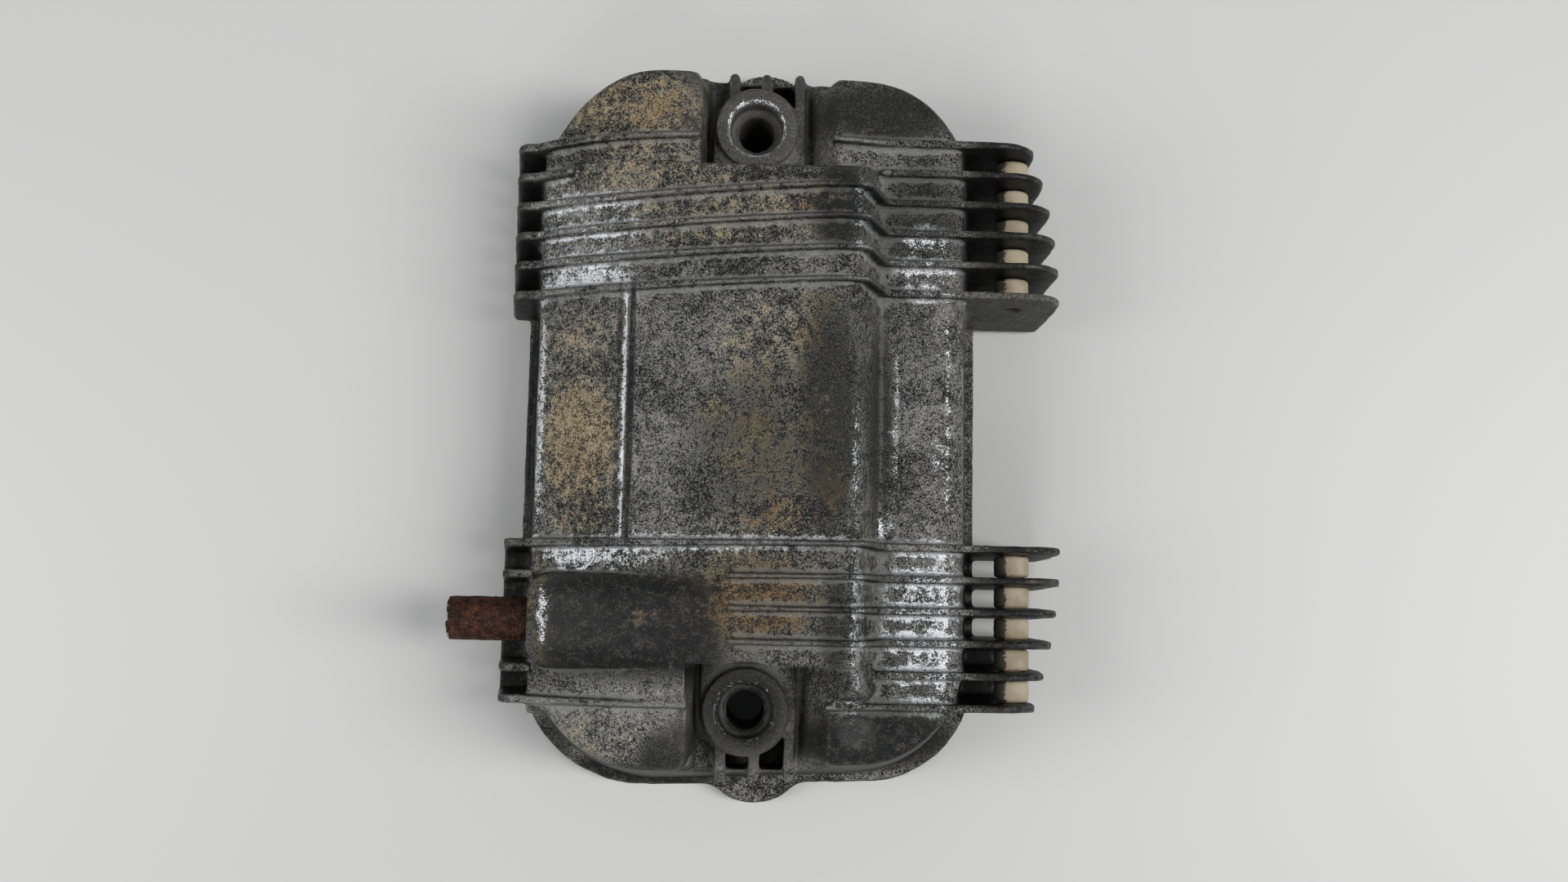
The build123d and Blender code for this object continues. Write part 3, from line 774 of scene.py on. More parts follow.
@dataclass(frozen=True)
class WeatheredCasting:
    """Old sand-cast aluminium: black skin, pale grains, earth, rust and bare worn edges, with
    painted highlights, painted light and painted shade.
    """

    ground: Layer = Layer((0.068, 0.067, 0.063), (0.24, 0.235, 0.212))
    earth: Layer = Layer((0.090, 0.068, 0.041), (0.36, 0.280, 0.158), 0.8)
    rust: Layer = Layer((0.075, 0.036, 0.016), (0.22, 0.130, 0.050), 0.9)
    # crests and fillet feet; the light colour of the feet is partly painted light
    worn: Layer = Layer((0.17, 0.168, 0.16), (0.24, 0.242, 0.235), 0.8)
    # dark skin, which in places is painted shade
    film_and_shade: Layer = Layer((0.010, 0.0105, 0.012), (0.050, 0.046, 0.037))
    # pits, and the painted shade of nooks and steep walls
    pit_and_shade: Layer = Layer((0.007, 0.007, 0.007), (0.034, 0.026, 0.016))
    inner: Layer = Layer((0.30, 0.28, 0.25), (0.16, 0.10, 0.05))
    # painted light
    lighter_grey: Colour = (0.115, 0.111, 0.098)
    # bare metal and painted highlight
    bare_metal_and_highlight: Colour = (0.66, 0.68, 0.71)
    bright: Colour = (0.48, 0.48, 0.46)

    grains: Pattern = Pattern(0.32 * MM, 1, 0.5)
    pores: Pattern = Pattern(0.608 * MM, 4, 0.7)
    clumps: Pattern = Pattern(2.2 * MM, 4, 0.7)
    clouds: Pattern = Pattern(16 * MM, 4, 0.65)
    pore_share: float = 0.55
    grain_share: float = 0.45
    clump_share: float = 0.12
    pale_share: float = 0.5
    pale_clouds: float = 1.6

    tone_blend: Blend = Blend((-0.15, 0.25), grain=1.1, clumps=0.6, clouds=0.6, pale=0.12)
    fine_blend: Blend = Blend((-0.08, 0.12), grain=1.0, clumps=0.7, pale=0.13)
    stain_blend: Blend = Blend((0.22, 0.95), amount=0.9, clumps=2.4, clouds=1.4)
    film_blend: Blend = Blend((0.1, 0.8), amount=1.0, grain=0.9, clumps=1.0, clouds=0.9)
    fleck_blend: Blend = Blend((0.01, 0.15), grain=1.0, clumps=0.5)
    foot_blend: Blend = Blend((0.45, 1.1), amount=1.2, clumps=2.2, clouds=1.0)
    crest_blend: Blend = Blend((0.45, 1.2), amount=1.1, clumps=1.8, clouds=1.4)
    bared_blend: Blend = Blend((0.5, 0.85), amount=1.0, grain=3.2, clumps=1.4)
    glint_blend: Blend = Blend((0.10, 0.18), amount=0.03, grain=1.0, pale=0.04)
    solid_blend: Blend = Blend((-0.07, 0.03), amount=1.0, grain=1.0, pale=0.03)
    inner_blend: Blend = Blend((-0.15, 0.10), clouds=1.0)
    stain_onset: Span = (0.0, 0.3)
    film_onset: Span = (0.0, 0.25)
    polish_onset: Span = (0.05, 0.25)
    nook_onset: Span = (0.45, 0.95)

    feet_bared: float = 0.4
    polish_clean: float = 0.6
    tone_fills: float = 0.05
    clean_fills: float = 0.12
    foot_cover: float = 0.5
    lighter_grey_cover: float = 0.6
    film_cover: float = 0.94
    clean_thins: float = 0.25
    rust_thins: float = 0.5
    film_dims: float = 0.9
    pit_cover: float = 0.95
    film_fills: float = 0.5
    light_fills_pits: float = 0.6
    # painted shade, and how much painted light and bare metal lift it
    shade_cover: float = 0.9
    light_hides_shade: float = 0.75
    bare_lifts: float = 0.6
    glint_shine: float = 0.6
    crest_shine: float = 0.95

    metallic: float = 0.85
    dull: float = 0.50
    film_gloss: float = 0.10
    shiny: float = 0.30
    specular: float = 0.07
    film_coat: float = 0.08
    coat_roughness: float = 0.2
    clump_depth: float = 0.25 * MM
    grain_depth: float = 0.35 * MM

    def material(self) -> Material:
        """Builds the material."""
        shop = CastShop(self)
        base = self._bare_highlit_pitted_and_shaded(shop, self._stains_light_and_shade(shop))
        inside = shop.painted(Mark.INSIDE)
        base = shop.lay(self.inner, inside, shop.mask(self.inner_blend), base)
        shine = (shop.glints * self.glint_shine).at_least(shop.crest * self.crest_shine)
        shine = shop.bared_and_highlit.at_least(shine) * (1 - shop.pits)
        coarse = shop.relief(shop.clumps, self.clump_depth)
        dull = self.dull - shop.film_and_shade * self.film_gloss
        return shop.finish(
            Base_Color=base,
            Metallic=shine * self.metallic,
            Roughness=shop.level(shine, dull, self.shiny),
            Specular_IOR_Level=self.specular,
            Coat_Weight=shop.film_and_shade * self.film_coat,
            Coat_Roughness=self.coat_roughness,
            Normal=shop.relief(shop.grain, self.grain_depth, coarse),
        )

    def _stains_light_and_shade(self, shop: CastShop) -> Wire:
        """Lays earth, rust, worn metal, painted light and the dark skin with its painted shade
        over the grey ground; the feet are lighter partly as painted light.
        """
        base = shop.cover(shop.tone, self.ground.dark, self.ground.light)
        base = shop.lay(self.earth, shop.earth, shop.fine, base)
        base = shop.lay(self.rust, shop.rust, shop.fine, base)
        # fillet feet, lighter partly as painted light
        base = shop.cover(shop.feet * self.foot_cover, base, self.worn.light)
        # crests, lighter under painted light as painted highlight
        base = shop.lay(self.worn, shop.crest, shop.lightened, base)
        # painted light
        base = shop.cover(shop.lightened * self.lighter_grey_cover, base, self.lighter_grey)
        # dark skin and painted shade, thinner on clean and rusty places
        thinned = shop.clean * self.clean_thins + shop.rust * self.rust_thins
        film_and_shade_cover = shop.film_and_shade * (self.film_cover - thinned)
        return shop.lay(self.film_and_shade, film_and_shade_cover, shop.mask(self.fleck_blend), base)

    def _bare_highlit_pitted_and_shaded(self, shop: CastShop, base: Wire) -> Wire:
        """Lays bare metal with painted highlights and glints over base, darkens the pits, then
        paints shade into the nooks and onto the steep walls.
        """
        # bare metal and painted highlight
        base = shop.cover(shop.bared_and_highlit, base, self.bare_metal_and_highlight)
        glints = shop.glints * (1 - shop.film_and_shade * self.film_dims)
        base = shop.cover(glints, base, self.bright)
        pits = shop.pits * (self.pit_cover - shop.film_and_shade * self.film_fills)
        pits = pits * (1 - shop.lightened * self.light_fills_pits)
        base = shop.lay(self.pit_and_shade, pits, shop.earth.at_least(shop.rust), base)
        # painted shade in nooks and on steep walls, lifted by painted light and bare metal
        nook = shop.painted(Mark.NOOK).step(*self.nook_onset)
        darkened = nook.at_least(shop.painted(Mark.STEEP)) * (1 - shop.bared_and_highlit * self.bare_lifts)
        darkened = darkened * (self.shade_cover - shop.lightened * self.light_hides_shade)
        return shop.cover(darkened, base, self.pit_and_shade.dark)


# ---- Other finishes --------------------------------------------------


@dataclass(frozen=True)
class RustySteel:
    """Bare steel tube gone to dark rust with pits and a scraped rim."""

    ground: Layer = Layer((0.014, 0.007, 0.005), (0.042, 0.017, 0.011))
    orange: Colour = (0.16, 0.055, 0.020)
    scraped: Colour = (0.42, 0.41, 0.40)
    orange_cover: float = 0.7
    scrape_cover: float = 0.85
    scale: Pattern = Pattern(2.2 * MM, 5, 0.65)
    grit: Pattern = Pattern(0.5 * MM, 3, 0.6)
    pit_size: float = 1.3 * MM
    pit_rise: Span = (0.1, 0.5)
    pit_share: float = 0.625
    brown_rise: Span = (0.35, 0.65)
    orange_rise: Span = (0.78, 0.95)
    orange_scale: float = 0.5
    scrape_rise: Span = (0.45, 0.7)
    scrape_grit: float = 1.2
    lump_depth: float = 0.4 * MM
    grit_depth: float = 0.15 * MM
    metallic: float = 0.9
    roughness: Span = (0.62, 0.35)
    specular: float = 0.15

    def material(self) -> Material:
        """Builds the material."""
        shop = NodeShop("rusty_steel")
        spot = shop.place()
        scale = shop.noise(spot, self.scale)
        grit = shop.noise(spot, self.grit)
        pits = shop.cells(spot, self.pit_size).step(*self.pit_rise)
        base = shop.cover(scale.step(*self.brown_rise), self.ground.dark, self.ground.light)
        bloom = (grit + scale * self.orange_scale).step(*self.orange_rise)
        base = shop.cover(bloom * self.orange_cover, base, self.orange)
        worn = shop.painted(Mark.RIDGE) + (grit - MIDDLE) * self.scrape_grit
        scrape = worn.step(*self.scrape_rise)
        coarse = shop.relief(scale + pits * self.pit_share, self.lump_depth)
        return shop.finish(
            Base_Color=shop.cover(scrape * self.scrape_cover, base, self.scraped),
            Metallic=scrape * self.metallic,
            Roughness=shop.level(scrape, *self.roughness),
            Specular_IOR_Level=self.specular,
            Normal=shop.relief(grit, self.grit_depth, coarse),
        )


@dataclass(frozen=True)
class AgedRubber:
    """Pale rubber of the dampers, grimy on its ends and in smears, and black on the side by the
    housing, partly as painted shade.
    """

    cream: Colour = (0.44, 0.37, 0.26)
    tan: Colour = (0.32, 0.26, 0.17)
    # black of the grime, and of the painted shade on the side by the housing
    soot_and_shade: Colour = (0.006, 0.005, 0.004)
    soot_cover: float = 0.92
    smear: Pattern = Pattern(4 * MM, 4, 0.6)
    smear_stretch: Place = (1, 3, 1)
    fine: Pattern = Pattern(0.6 * MM, 3, 0.6)
    blotch: Pattern = Pattern(7 * MM, 2, 0.5)
    tan_rise: Span = (0.4, 0.65)
    soot_rise: Span = (0.42, 0.66)
    soot_tear: float = 1.1
    smear_share: float = 1.2
    depth: float = 0.06 * MM
    roughness: float = 0.72
    soot_gloss: float = 0.1

    def material(self) -> Material:
        """Builds the material."""
        shop = NodeShop("aged_rubber")
        spot = shop.place()
        smear = shop.noise(shop.place(self.smear_stretch), self.smear)
        fine = shop.noise(spot, self.fine)
        blotch = shop.noise(spot, self.blotch).step(*self.tan_rise)
        tear = (smear - MIDDLE + fine - MIDDLE) * self.soot_tear
        # grimy ends, and a black side by the housing that is partly painted shade
        darkened = (shop.painted(Mark.SOOTED_AND_SHADED) + tear).step(*self.soot_rise)
        base = shop.cover(blotch, self.cream, self.tan)
        return shop.finish(
            Base_Color=shop.cover(darkened * self.soot_cover, base, self.soot_and_shade),
            Roughness=self.roughness - darkened * self.soot_gloss,
            Normal=shop.relief(fine + smear * self.smear_share, self.depth),
        )


@dataclass(frozen=True)
class GasketRubber:
    """Black gasket edge with oil and grit on it."""

    black: Colour = (0.012, 0.012, 0.012)
    lighter_grey: Colour = (0.07, 0.065, 0.06)
    lighter_grey_cover: float = 0.7
    grit: Pattern = Pattern(0.8 * MM, 4, 0.6)
    blotch: Pattern = Pattern(6 * MM, 2, 0.5)
    dust_blotch: float = 0.4
    dust_rise: Span = (0.72, 0.9)
    dry_rise: Span = (0.4, 0.6)
    roughness: Span = (0.45, 0.75)
    depth: float = 0.25 * MM

    def material(self) -> Material:
        """Builds the material."""
        shop = NodeShop("gasket_rubber")
        spot = shop.place()
        grit = shop.noise(spot, self.grit)
        blotch = shop.noise(spot, self.blotch)
        lightened = (grit + blotch * self.dust_blotch).step(*self.dust_rise)
        return shop.finish(
            Base_Color=shop.cover(lightened * self.lighter_grey_cover, self.black, self.lighter_grey),
            Roughness=shop.level(blotch.step(*self.dry_rise), *self.roughness),
            Normal=shop.relief(grit, self.depth),
        )


@dataclass(frozen=True)
class OilyPlate:
    """Plated sheet and screws that have lived in oil mist."""

    plate: Colour = (0.46, 0.45, 0.42)
    varnish: Colour = (0.22, 0.13, 0.05)
    varnish_cover: float = 0.8
    blotch: Pattern = Pattern(9 * MM, 4, 0.6)
    brush: Pattern = Pattern(3 * MM, 3, 0.6)
    brush_stretch: Place = (1, 14, 1)
    varnish_rise: Span = (0.4, 0.7)
    dull_rise: Span = (0.35, 0.7)
    roughness: Span = (0.28, 0.5)
    metallic: float = 0.9
    depth: float = 0.03 * MM

    def material(self) -> Material:
        """Builds the material."""
        shop = NodeShop("oily_plate")
        blotch = shop.noise(shop.place(), self.blotch)
        brush = shop.noise(shop.place(self.brush_stretch), self.brush)
        varnished = blotch.step(*self.varnish_rise) * self.varnish_cover
        return shop.finish(
            Base_Color=shop.cover(varnished, self.plate, self.varnish),
            Metallic=self.metallic,
            Roughness=shop.level(blotch.step(*self.dull_rise), *self.roughness),
            Normal=shop.relief(brush, self.depth),
        )


@dataclass(frozen=True)
class TableTop:
    """Pale glossy table."""

    colour: Colour = (0.60, 0.60, 0.585)
    shade: Colour = (0.57, 0.57, 0.55575)
    drift: Pattern = Pattern(0.6, 2, 0.5)
    drift_rise: Span = (0.3, 0.7)
    roughness: float = 0.5

    def material(self) -> Material:
        """Builds the material."""
        shop = NodeShop("table_top")
        drift = shop.noise(shop.place(), self.drift).step(*self.drift_rise)
        base = shop.cover(drift, self.colour, self.shade)
        return shop.finish(Base_Color=base, Roughness=self.roughness)


# ---- Sub-assemblies --------------------------------------------------


@dataclass
class CoverCasting:
    """The casting with soft cast edges, a slightly uneven skin, and its painted wear, light and
    shade.
    """

    node: Piece
    finish: WeatheredCasting = field(default_factory=WeatheredCasting)
    grid: float = 0.5 * MM
    ridge_passes: int = 2
    ridge_rise: Span = (0.035, 0.10)
    hollow_passes: int = 6
    hollow_rise: Span = (0.012, 0.05)
    foot_height: Span = (14 * MM, 22 * MM)
    soften_passes: int = 5
    wing_passes: int = 8
    wing_right: float = 63 * MM
    wing_left: float = -64 * MM
    lobe_passes: int = 110
    lobe_across: Span = (12.5 * MM, 15 * MM)
    lobe_upper: Span = (77 * MM, 80 * MM)
    lobe_lower: Span = (80 * MM, 83 * MM)
    lobe_height: Span = (6 * MM, 10 * MM)
    weight_steps: int = 8
    unevenness: tuple[Lumps, ...] = (
        Lumps("cast_skin", 2.4 * MM, 0.16 * MM),
        Lumps("cast_wave", 14 * MM, 0.35 * MM),
    )
    most_triangles: int = 190_000
    steep_rise: Span = (0.05, 0.40)
    nook_reach: float = 13 * MM
    ray_count: int = 22
    least_lean: float = 0.15
    skin_gap: float = 0.3 * MM
    shelter_passes: int = 2
    inside_rise: Span = (0.3, 0.7)

    def build(self) -> Piece:
        """Makes the piece, paints its wear, light and shade, and dresses it."""
        piece = merged_copy(self.node, "casting_skin")
        add_even_grid(piece, self.grid)
        settle(piece)
        self._mark_edges(piece.data)
        self._smooth(piece, "soften", self.soften_passes)
        self._thin_wings(piece)
        self._round_lobes(piece)
        for lumps in self.unevenness:
            lumps.add_to(piece)
        settle(piece)
        thin = piece.modifiers.new("thin_out", "DECIMATE")
        squares = len(piece.data.polygons)
        thin.ratio = self.most_triangles / (2 * squares)
        settle(piece)
        self._paint(piece.data)
        shade_smooth(piece.data)
        dress(piece, self.finish.material())
        return piece

    def _mark_edges(self, mesh: Mesh) -> None:
        """Stores the sharp ridges and the feet of the walls."""
        bulge = bulge_of(mesh, self.grid, self.ridge_passes)
        store(mesh, Mark.RIDGE, smooth_rise(bulge, *self.ridge_rise))
        hollow = smooth_rise(-bulge_of(mesh, self.grid, self.hollow_passes), *self.hollow_rise)
        high = smooth_rise(points_of(mesh)[:, 2], *self.foot_height)
        store(mesh, Mark.FOOT, hollow * high)

    def _smooth(self, piece: Piece, name: str, passes: int, group: str = "") -> None:
        """Rounds the edges of a piece, or only of the vertex group that is named."""
        smooth = piece.modifiers.new(name, "SMOOTH")
        smooth.iterations = passes
        smooth.vertex_group = group
        settle(piece)

    def _weigh(self, piece: Piece, name: str, amounts: Numbers) -> None:
        """Makes a vertex group from amounts, rounded to even steps."""
        group = piece.vertex_groups.new(name=name)
        level = np.round(amounts * self.weight_steps).astype(int)
        for share in range(1, self.weight_steps + 1):
            chosen = np.flatnonzero(level == share).tolist()
            group.add(chosen, share / self.weight_steps, "REPLACE")

    def _thin_wings(self, piece: Piece) -> None:
        """Rounds and thins the fins where they stand out past the housing."""
        across = points_of(piece.data)[:, 0]
        self._weigh(piece, "wings", (across > self.wing_right) | (across < self.wing_left))
        self._smooth(piece, "thin_wings", self.wing_passes, "wings")

    def _round_lobes(self, piece: Piece) -> None:
        """Rounds the lobes at both ends more than the rest."""
        x, y, z = points_of(piece.data).T
        ends = np.maximum(
            smooth_rise(y, *self.lobe_upper), smooth_rise(-y, *self.lobe_lower)
        )
        sides = smooth_rise(np.abs(x), *self.lobe_across)
        self._weigh(piece, "lobes", ends * sides * smooth_rise(z, *self.lobe_height))
        self._smooth(piece, "round_lobes", self.lobe_passes, "lobes")

    def _paint(self, mesh: Mesh) -> None:
        """Stores the stains, the painted light and shade, and the marks that come from the
        finished shape.
        """
        points = points_of(mesh)
        normals = points_of(mesh, "normal")
        nook, inside = self._shelter(mesh, points, normals)
        # nooks and steep walls, where the casting gets painted shade
        store(mesh, Mark.NOOK, nook)
        store(mesh, Mark.INSIDE, inside)
        store(mesh, Mark.STEEP, 1 - smooth_rise(normals[:, 2], *self.steep_rise))
        for stain in StainAndLight:
            store(mesh, stain, stain_and_light_amount(stain, points) * (1 - inside))

    def _shelter(
        self, mesh: Mesh, points: Numbers, normals: Numbers
    ) -> tuple[Numbers, Numbers]:
        """Finds how enclosed each vertex is, and whether it is on the inner wall.

        Args:
            mesh: The finished mesh.
            points: Its vertices.
            normals: Their normals.

        Returns:
            The enclosed share from 0 to 1, and 1 where the wall is an inner one.
        """
        faces = [tuple(face.vertices) for face in mesh.polygons]
        tree = BVHTree.FromPolygons([tuple(point) for point in points], faces)
        rays = even_directions(self.ray_count)
        up = Vector((0, 0, 1))
        nook = np.zeros(len(points))
        inside = np.zeros(len(points))
        for index, (point, normal) in enumerate(zip(points, normals)):
            out = Vector(normal)
            start = Vector(point) + out * self.skin_gap
            seen = [ray for ray in rays if ray.dot(out) > self.least_lean]
            hits = sum(tree.ray_cast(start, ray, self.nook_reach)[0] is not None for ray in seen)
            nook[index] = hits / max(1, len(seen))
            roofed = tree.ray_cast(start, up)[0] is not None
            inside[index] = float(roofed and tree.ray_cast(start, -up)[0] is None)
        ends = edge_ends(mesh)
        for _ in range(self.shelter_passes):
            nook = neighbour_mean(nook, ends)
            inside = neighbour_mean(inside, ends)
        return nook, smooth_rise(inside, *self.inside_rise)


@dataclass
class BreatherTube:
    """Short steel tube, swollen and pitted by rust, with a thin scraped rim."""

    node: Piece
    finish: RustySteel = field(default_factory=RustySteel)
    radius: float = 6.0 * MM
    wall: float = 1.25 * MM
    rim_round: float = 0.5 * MM
    ring_step: float = 0.35 * MM
    segments: int = 128
    rust_swell: float = 0.32 * MM
    scale_size: float = 2.6 * MM
    scale_layers: int = 3
    scale_share: float = 0.5
    pit_depth: float = 0.60 * MM
    pit_size: float = 1.1 * MM
    pit_shift: Place = (7, 3, 5)
    pit_floor: float = 0.25
    ragged_length: float = 1.2 * MM
    ragged_size: float = 1.7 * MM
    ragged_depth: float = 0.5 * MM
    rim_range: Span = (0.3 * MM, 1.4 * MM)
    scrape_size: float = 2.5 * MM
    scrape_rise: Span = (-0.1, 0.4)

    def build(self) -> Piece:
        """Spins the wall, then lets rust swell and pit it."""
        low, high = (Vector(corner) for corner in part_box(self.node.name))
        axis = Vector((0, (low.y + high.y) / 2, (low.z + high.z) / 2))
        shape = spun(self._section(low.x, high.x), axis, 0, self.segments)
        for vert in shape.verts:
            self._corrode(vert, axis, low.x)
        bmesh.ops.recalc_face_normals(shape, faces=shape.faces)
        piece = made_from(shape, "rusted_tube")
        points = points_of(piece.data)
        rim = 1 - smooth_rise(points[:, 0] - low.x, *self.rim_range)
        spots = np.array([noise.noise(Vector(point) / self.scrape_size) for point in points])
        store(piece.data, Mark.RIDGE, rim * smooth_rise(spots, *self.scrape_rise))
        shade_smooth(piece.data)
        dress(piece, self.finish.material())
        return piece

    def _section(self, low: float, root: float) -> list[Span]:
        """Section of the wall as X and radius, out along the outside and back in the bore."""
        outer = self.radius - self.rust_swell / 2
        inner = outer - self.wall
        tip = low + self.rust_swell / 2
        count = int((root - tip) / self.ring_step)
        reach = root - tip
        outside = [(root - reach * step / count, outer) for step in range(count)]
        rim = [
            (
                tip + self.rim_round * (1 - math.sin(turn)),
                outer - self.rim_round * (1 - math.cos(turn)),
            )
            for turn in CORNER_TURNS[1:]
        ]
        bore = [(tip + reach * step / count, inner) for step in range(count + 1)]
        return outside + rim + bore

    def _corrode(self, vert: bmesh.types.BMVert, axis: Vector, tip: float) -> None:
        """Moves a vertex by rust scale and pits, and frays the rim near the tip."""
        spot = vert.co.copy()
        out = Vector((0, spot.y - axis.y, spot.z - axis.z)).normalized()
        scale = noise.fractal(spot / self.scale_size, 1.0, 2.0, self.scale_layers)
        pits = noise.noise(spot / self.pit_size + Vector(self.pit_shift)) - self.pit_floor
        swell = self.rust_swell * scale * self.scale_share - self.pit_depth * max(0.0, pits)
        vert.co += out * min(swell, self.rust_swell / 2)
        if vert.co.x < tip + self.ragged_length:
            ragged = noise.noise(Vector((0, spot.y, spot.z)) / self.ragged_size)
            vert.co.x += max(0.0, ragged) * self.ragged_depth


@dataclass
class FinDampers:
    """Two strings of rubber barrels, one in each gap between the fins."""

    nodes: tuple[Piece, ...]
    finish: AgedRubber = field(default_factory=AgedRubber)
    barrels: int = 5
    pitch: float = 8.25 * MM
    gap_share: float = 0.69
    neck_radius: float = 2.4 * MM
    edge_round: float = 1.0 * MM
    belly: float = 0.22 * MM
    belly_points: tuple[float, ...] = (-0.6, -0.2, 0.2, 0.6)
    join_reach: float = 0.002 * MM
    dent: float = 0.05 * MM
    dent_size: float = 3 * MM
    dent_shift: float = 9.0
    dent_level: float = 0.6
    segments: int = 72
    end_range: Span = (0.55, 1.0)
    end_soot: float = 0.42
    inward_range: Span = (0.2, 0.7)
    # the side by the housing is sooty and partly painted shade
    inward_soot_and_shade: tuple[float, ...] = (0.85, 0.95)

    def build(self) -> list[Piece]:
        """Makes both strings, one piece each."""
        rubber = self.finish.material()
        made = []
        for number, node in enumerate(self.nodes):
            piece = self._string(node, number)
            dress(piece, rubber)
            made.append(piece)
        return made

    def _string(self, node: Piece, number: int) -> Piece:
        """Spins one string about its own axis.

        Args:
            node: The frame node it stands for.
            number: Shifts its dents from the other string's.

        Returns:
            The piece.
        """
        low, high = (Vector(corner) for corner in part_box(node.name))
        axis = (low + high) / 2
        radius = (high.x - low.x) / 2
        profile = [(low.y, 0.0), (low.y, self.neck_radius)]
        for gap in range(self.barrels):
            profile += self._barrel(low.y + (gap + 0.5) * self.pitch, radius)
        profile += [(high.y, self.neck_radius), (high.y, 0.0)]
        shape = spun(profile, axis, 1, self.segments)
        bmesh.ops.remove_doubles(shape, verts=shape.verts, dist=self.join_reach)
        shift = Vector((0, 0, number * self.dent_shift))
        for vert in shape.verts:
            out = Vector((vert.co.x - axis.x, 0, vert.co.z - axis.z))
            if out.length > self.neck_radius:
                lumps = noise.noise(vert.co / self.dent_size + shift)
                vert.co += out.normalized() * (lumps - self.dent_level) * self.dent
        bmesh.ops.recalc_face_normals(shape, faces=shape.faces)
        piece = made_from(shape, f"damper_string_{number + 1}")
        self._mark_soot_and_shade(piece.data, low.y, axis.x, radius, self.inward_soot_and_shade[number])
        shade_smooth(piece.data)
        return piece

    def _mark_soot_and_shade(
        self, mesh: Mesh, start: float, middle: float, radius: float, soot_and_shade: float
    ) -> None:
        """Stores the grime of the barrels' ends and the black of the side by the housing, which
        is sooty and partly painted shade.
        """
        points = points_of(mesh)
        along = np.abs(((points[:, 1] - start) / self.pitch) % 1 - 0.5) * self.pitch
        ends = smooth_rise(along / self._half(), *self.end_range)
        inward = smooth_rise((middle - points[:, 0]) / radius, *self.inward_range)
        store(mesh, Mark.SOOTED_AND_SHADED, np.maximum(ends * self.end_soot, inward * soot_and_shade))

    def _half(self) -> float:
        """Half the length of a barrel."""
        return self.pitch * self.gap_share / 2

    def _barrel(self, middle: float, radius: float) -> list[Span]:
        """Profile of one barrel as Y and radius, with round edges and a slight belly."""
        half = self._half()
        inner = half - self.edge_round
        corner = [
            (
                middle - inner - self.edge_round * math.cos(turn),
                radius - self.edge_round * (1 - math.sin(turn)),
            )
            for turn in CORNER_TURNS
        ]
        start = [(middle - half, self.neck_radius)] + corner
        flat = [
            (middle + inner * share, radius - self.belly * share * share)
            for share in self.belly_points
        ]
        end = [(2 * middle - y, reach) for y, reach in reversed(start)]
        return start + flat + end


@dataclass
class FlangeGasket:
    """Gasket edge that has crept out unevenly from under the flange."""

    node: Piece
    finish: GasketRubber = field(default_factory=GasketRubber)
    grid: float = 0.4 * MM
    creep: Lumps = Lumps("gasket_lumps", 5 * MM, 0.5 * MM, layers=4, still_level=0.62)

    def build(self) -> Piece:
        """Makes the gasket with a lumpy edge."""
        piece = merged_copy(self.node, "gasket_edge")
        add_even_grid(piece, self.grid)
        self.creep.add_to(piece)
        settle(piece)
        shade_smooth(piece.data)
        dress(piece, self.finish.material())
        return piece


# ---- Studio ----------------------------------------------------------


@dataclass(frozen=True)
class Lamp:
    """A soft oblong light that points at the cover, its long side along Y."""

    name: str
    place: Place
    width: float
    length: float
    watts: float


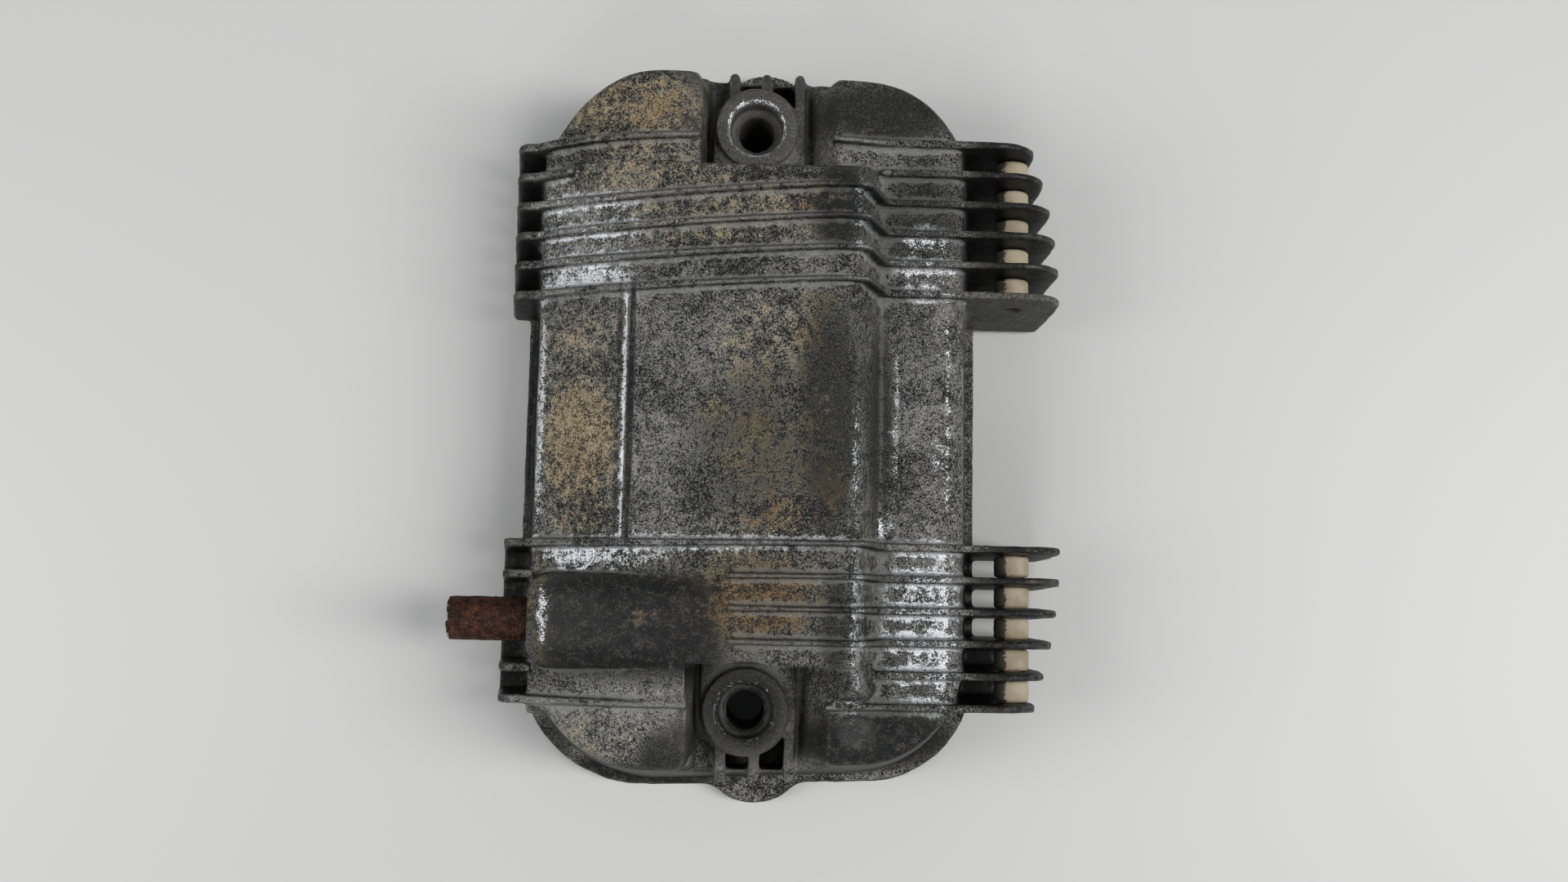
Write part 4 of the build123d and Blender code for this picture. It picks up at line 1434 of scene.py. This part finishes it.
@dataclass
class Studio:
    """Table, soft lights and camera; the camera's tilt is in degrees."""

    eye: Place = (-0.34 * MM, -52.33 * MM, 427 * MM)
    tilt: Place = (6.592, -1.486, 1.045)
    lens: float = 33.75
    nearest: float = 0.01
    table_size: float = 4.0
    sky: Colour = (0.92, 0.96, 1.0)
    sky_strength: float = 0.26
    lamps: tuple[Lamp, ...] = (
        Lamp("right_panel", (1.15, -0.1, 1.3), 0.4, 1.3, 21.0),
        Lamp("left_panel", (-0.95, -0.1, 0.75), 0.4, 0.9, 6.5),
        Lamp("near_panel", (0.1, -1.1, 1.1), 0.5, 0.5, 3.0),
    )

    def build(self) -> None:
        """Makes the table, the lights and the camera."""
        self._table()
        self._sky()
        for lamp in self.lamps:
            self._light(lamp)
        self._camera()

    def _table(self) -> None:
        """Makes the table under the gasket's lower face."""
        shape = bmesh.new()
        bmesh.ops.create_grid(shape, x_segments=1, y_segments=1, size=self.table_size / 2)
        table = made_from(shape, "table")
        dress(table, TableTop().material())

    def _sky(self) -> None:
        """Gives the room an even pale light."""
        world = bpy.data.worlds.new("room")
        world.use_nodes = True
        room = world.node_tree.nodes["Background"]
        room.inputs["Color"].default_value = (*self.sky, 1.0)
        room.inputs["Strength"].default_value = self.sky_strength
        bpy.context.scene.world = world

    def _light(self, lamp: Lamp) -> None:
        """Hangs one lamp and turns it towards the cover."""
        data = bpy.data.lights.new(lamp.name, "AREA")
        data.shape = "RECTANGLE"
        data.size = lamp.width
        data.size_y = lamp.length
        data.energy = lamp.watts
        light = bpy.data.objects.new(lamp.name, data)
        light.location = lamp.place
        light.rotation_euler = (-Vector(lamp.place)).to_track_quat("-Z", "Y").to_euler()
        bpy.context.scene.collection.objects.link(light)

    def _camera(self) -> None:
        """Stands the camera almost straight above the cover."""
        data = bpy.data.cameras.new("camera")
        data.lens = self.lens
        data.clip_start = self.nearest
        camera = bpy.data.objects.new("camera", data)
        camera.location = self.eye
        camera.rotation_euler = Euler([math.radians(angle) for angle in self.tilt])
        bpy.context.scene.collection.objects.link(camera)
        bpy.context.scene.camera = camera
        bpy.context.scene.view_settings.view_transform = "Standard"


# ---- Putting it together ---------------------------------------------


def stand_for(piece: Piece, node: str) -> None:
    """Lets a piece stand for a frame node on the one rigid body.

    Args:
        piece: The new piece.
        node: The frame node it replaces.
    """
    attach(piece, BODY)
    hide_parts(node)
    triangles = sum(len(face.vertices) - 2 for face in piece.data.polygons)
    log.info("%s: %d triangles for %s", piece.name, triangles, node)


def main() -> None:
    """Builds every piece of the cover, then the studio around it."""
    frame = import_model()
    nodes = frame["nodes"]
    stand_for(CoverCasting(nodes["cover_casting"]).build(), "cover_casting")
    stand_for(BreatherTube(nodes["breather_tube"]).build(), "breather_tube")
    names = ("fin_damper_upper", "fin_damper_lower")
    strings = FinDampers(tuple(nodes[name] for name in names)).build()
    for piece, name in zip(strings, names):
        stand_for(piece, name)
    stand_for(FlangeGasket(nodes["gasket"]).build(), "gasket")
    plated = OilyPlate().material()
    for name, node in nodes.items():
        if name.startswith("baffle_screw") or name == "breather_baffle":
            dress_node(node, plated)
            log.info("%s: dressed as it is", name)
    Studio().build()


if __name__ == "__main__":
    main()
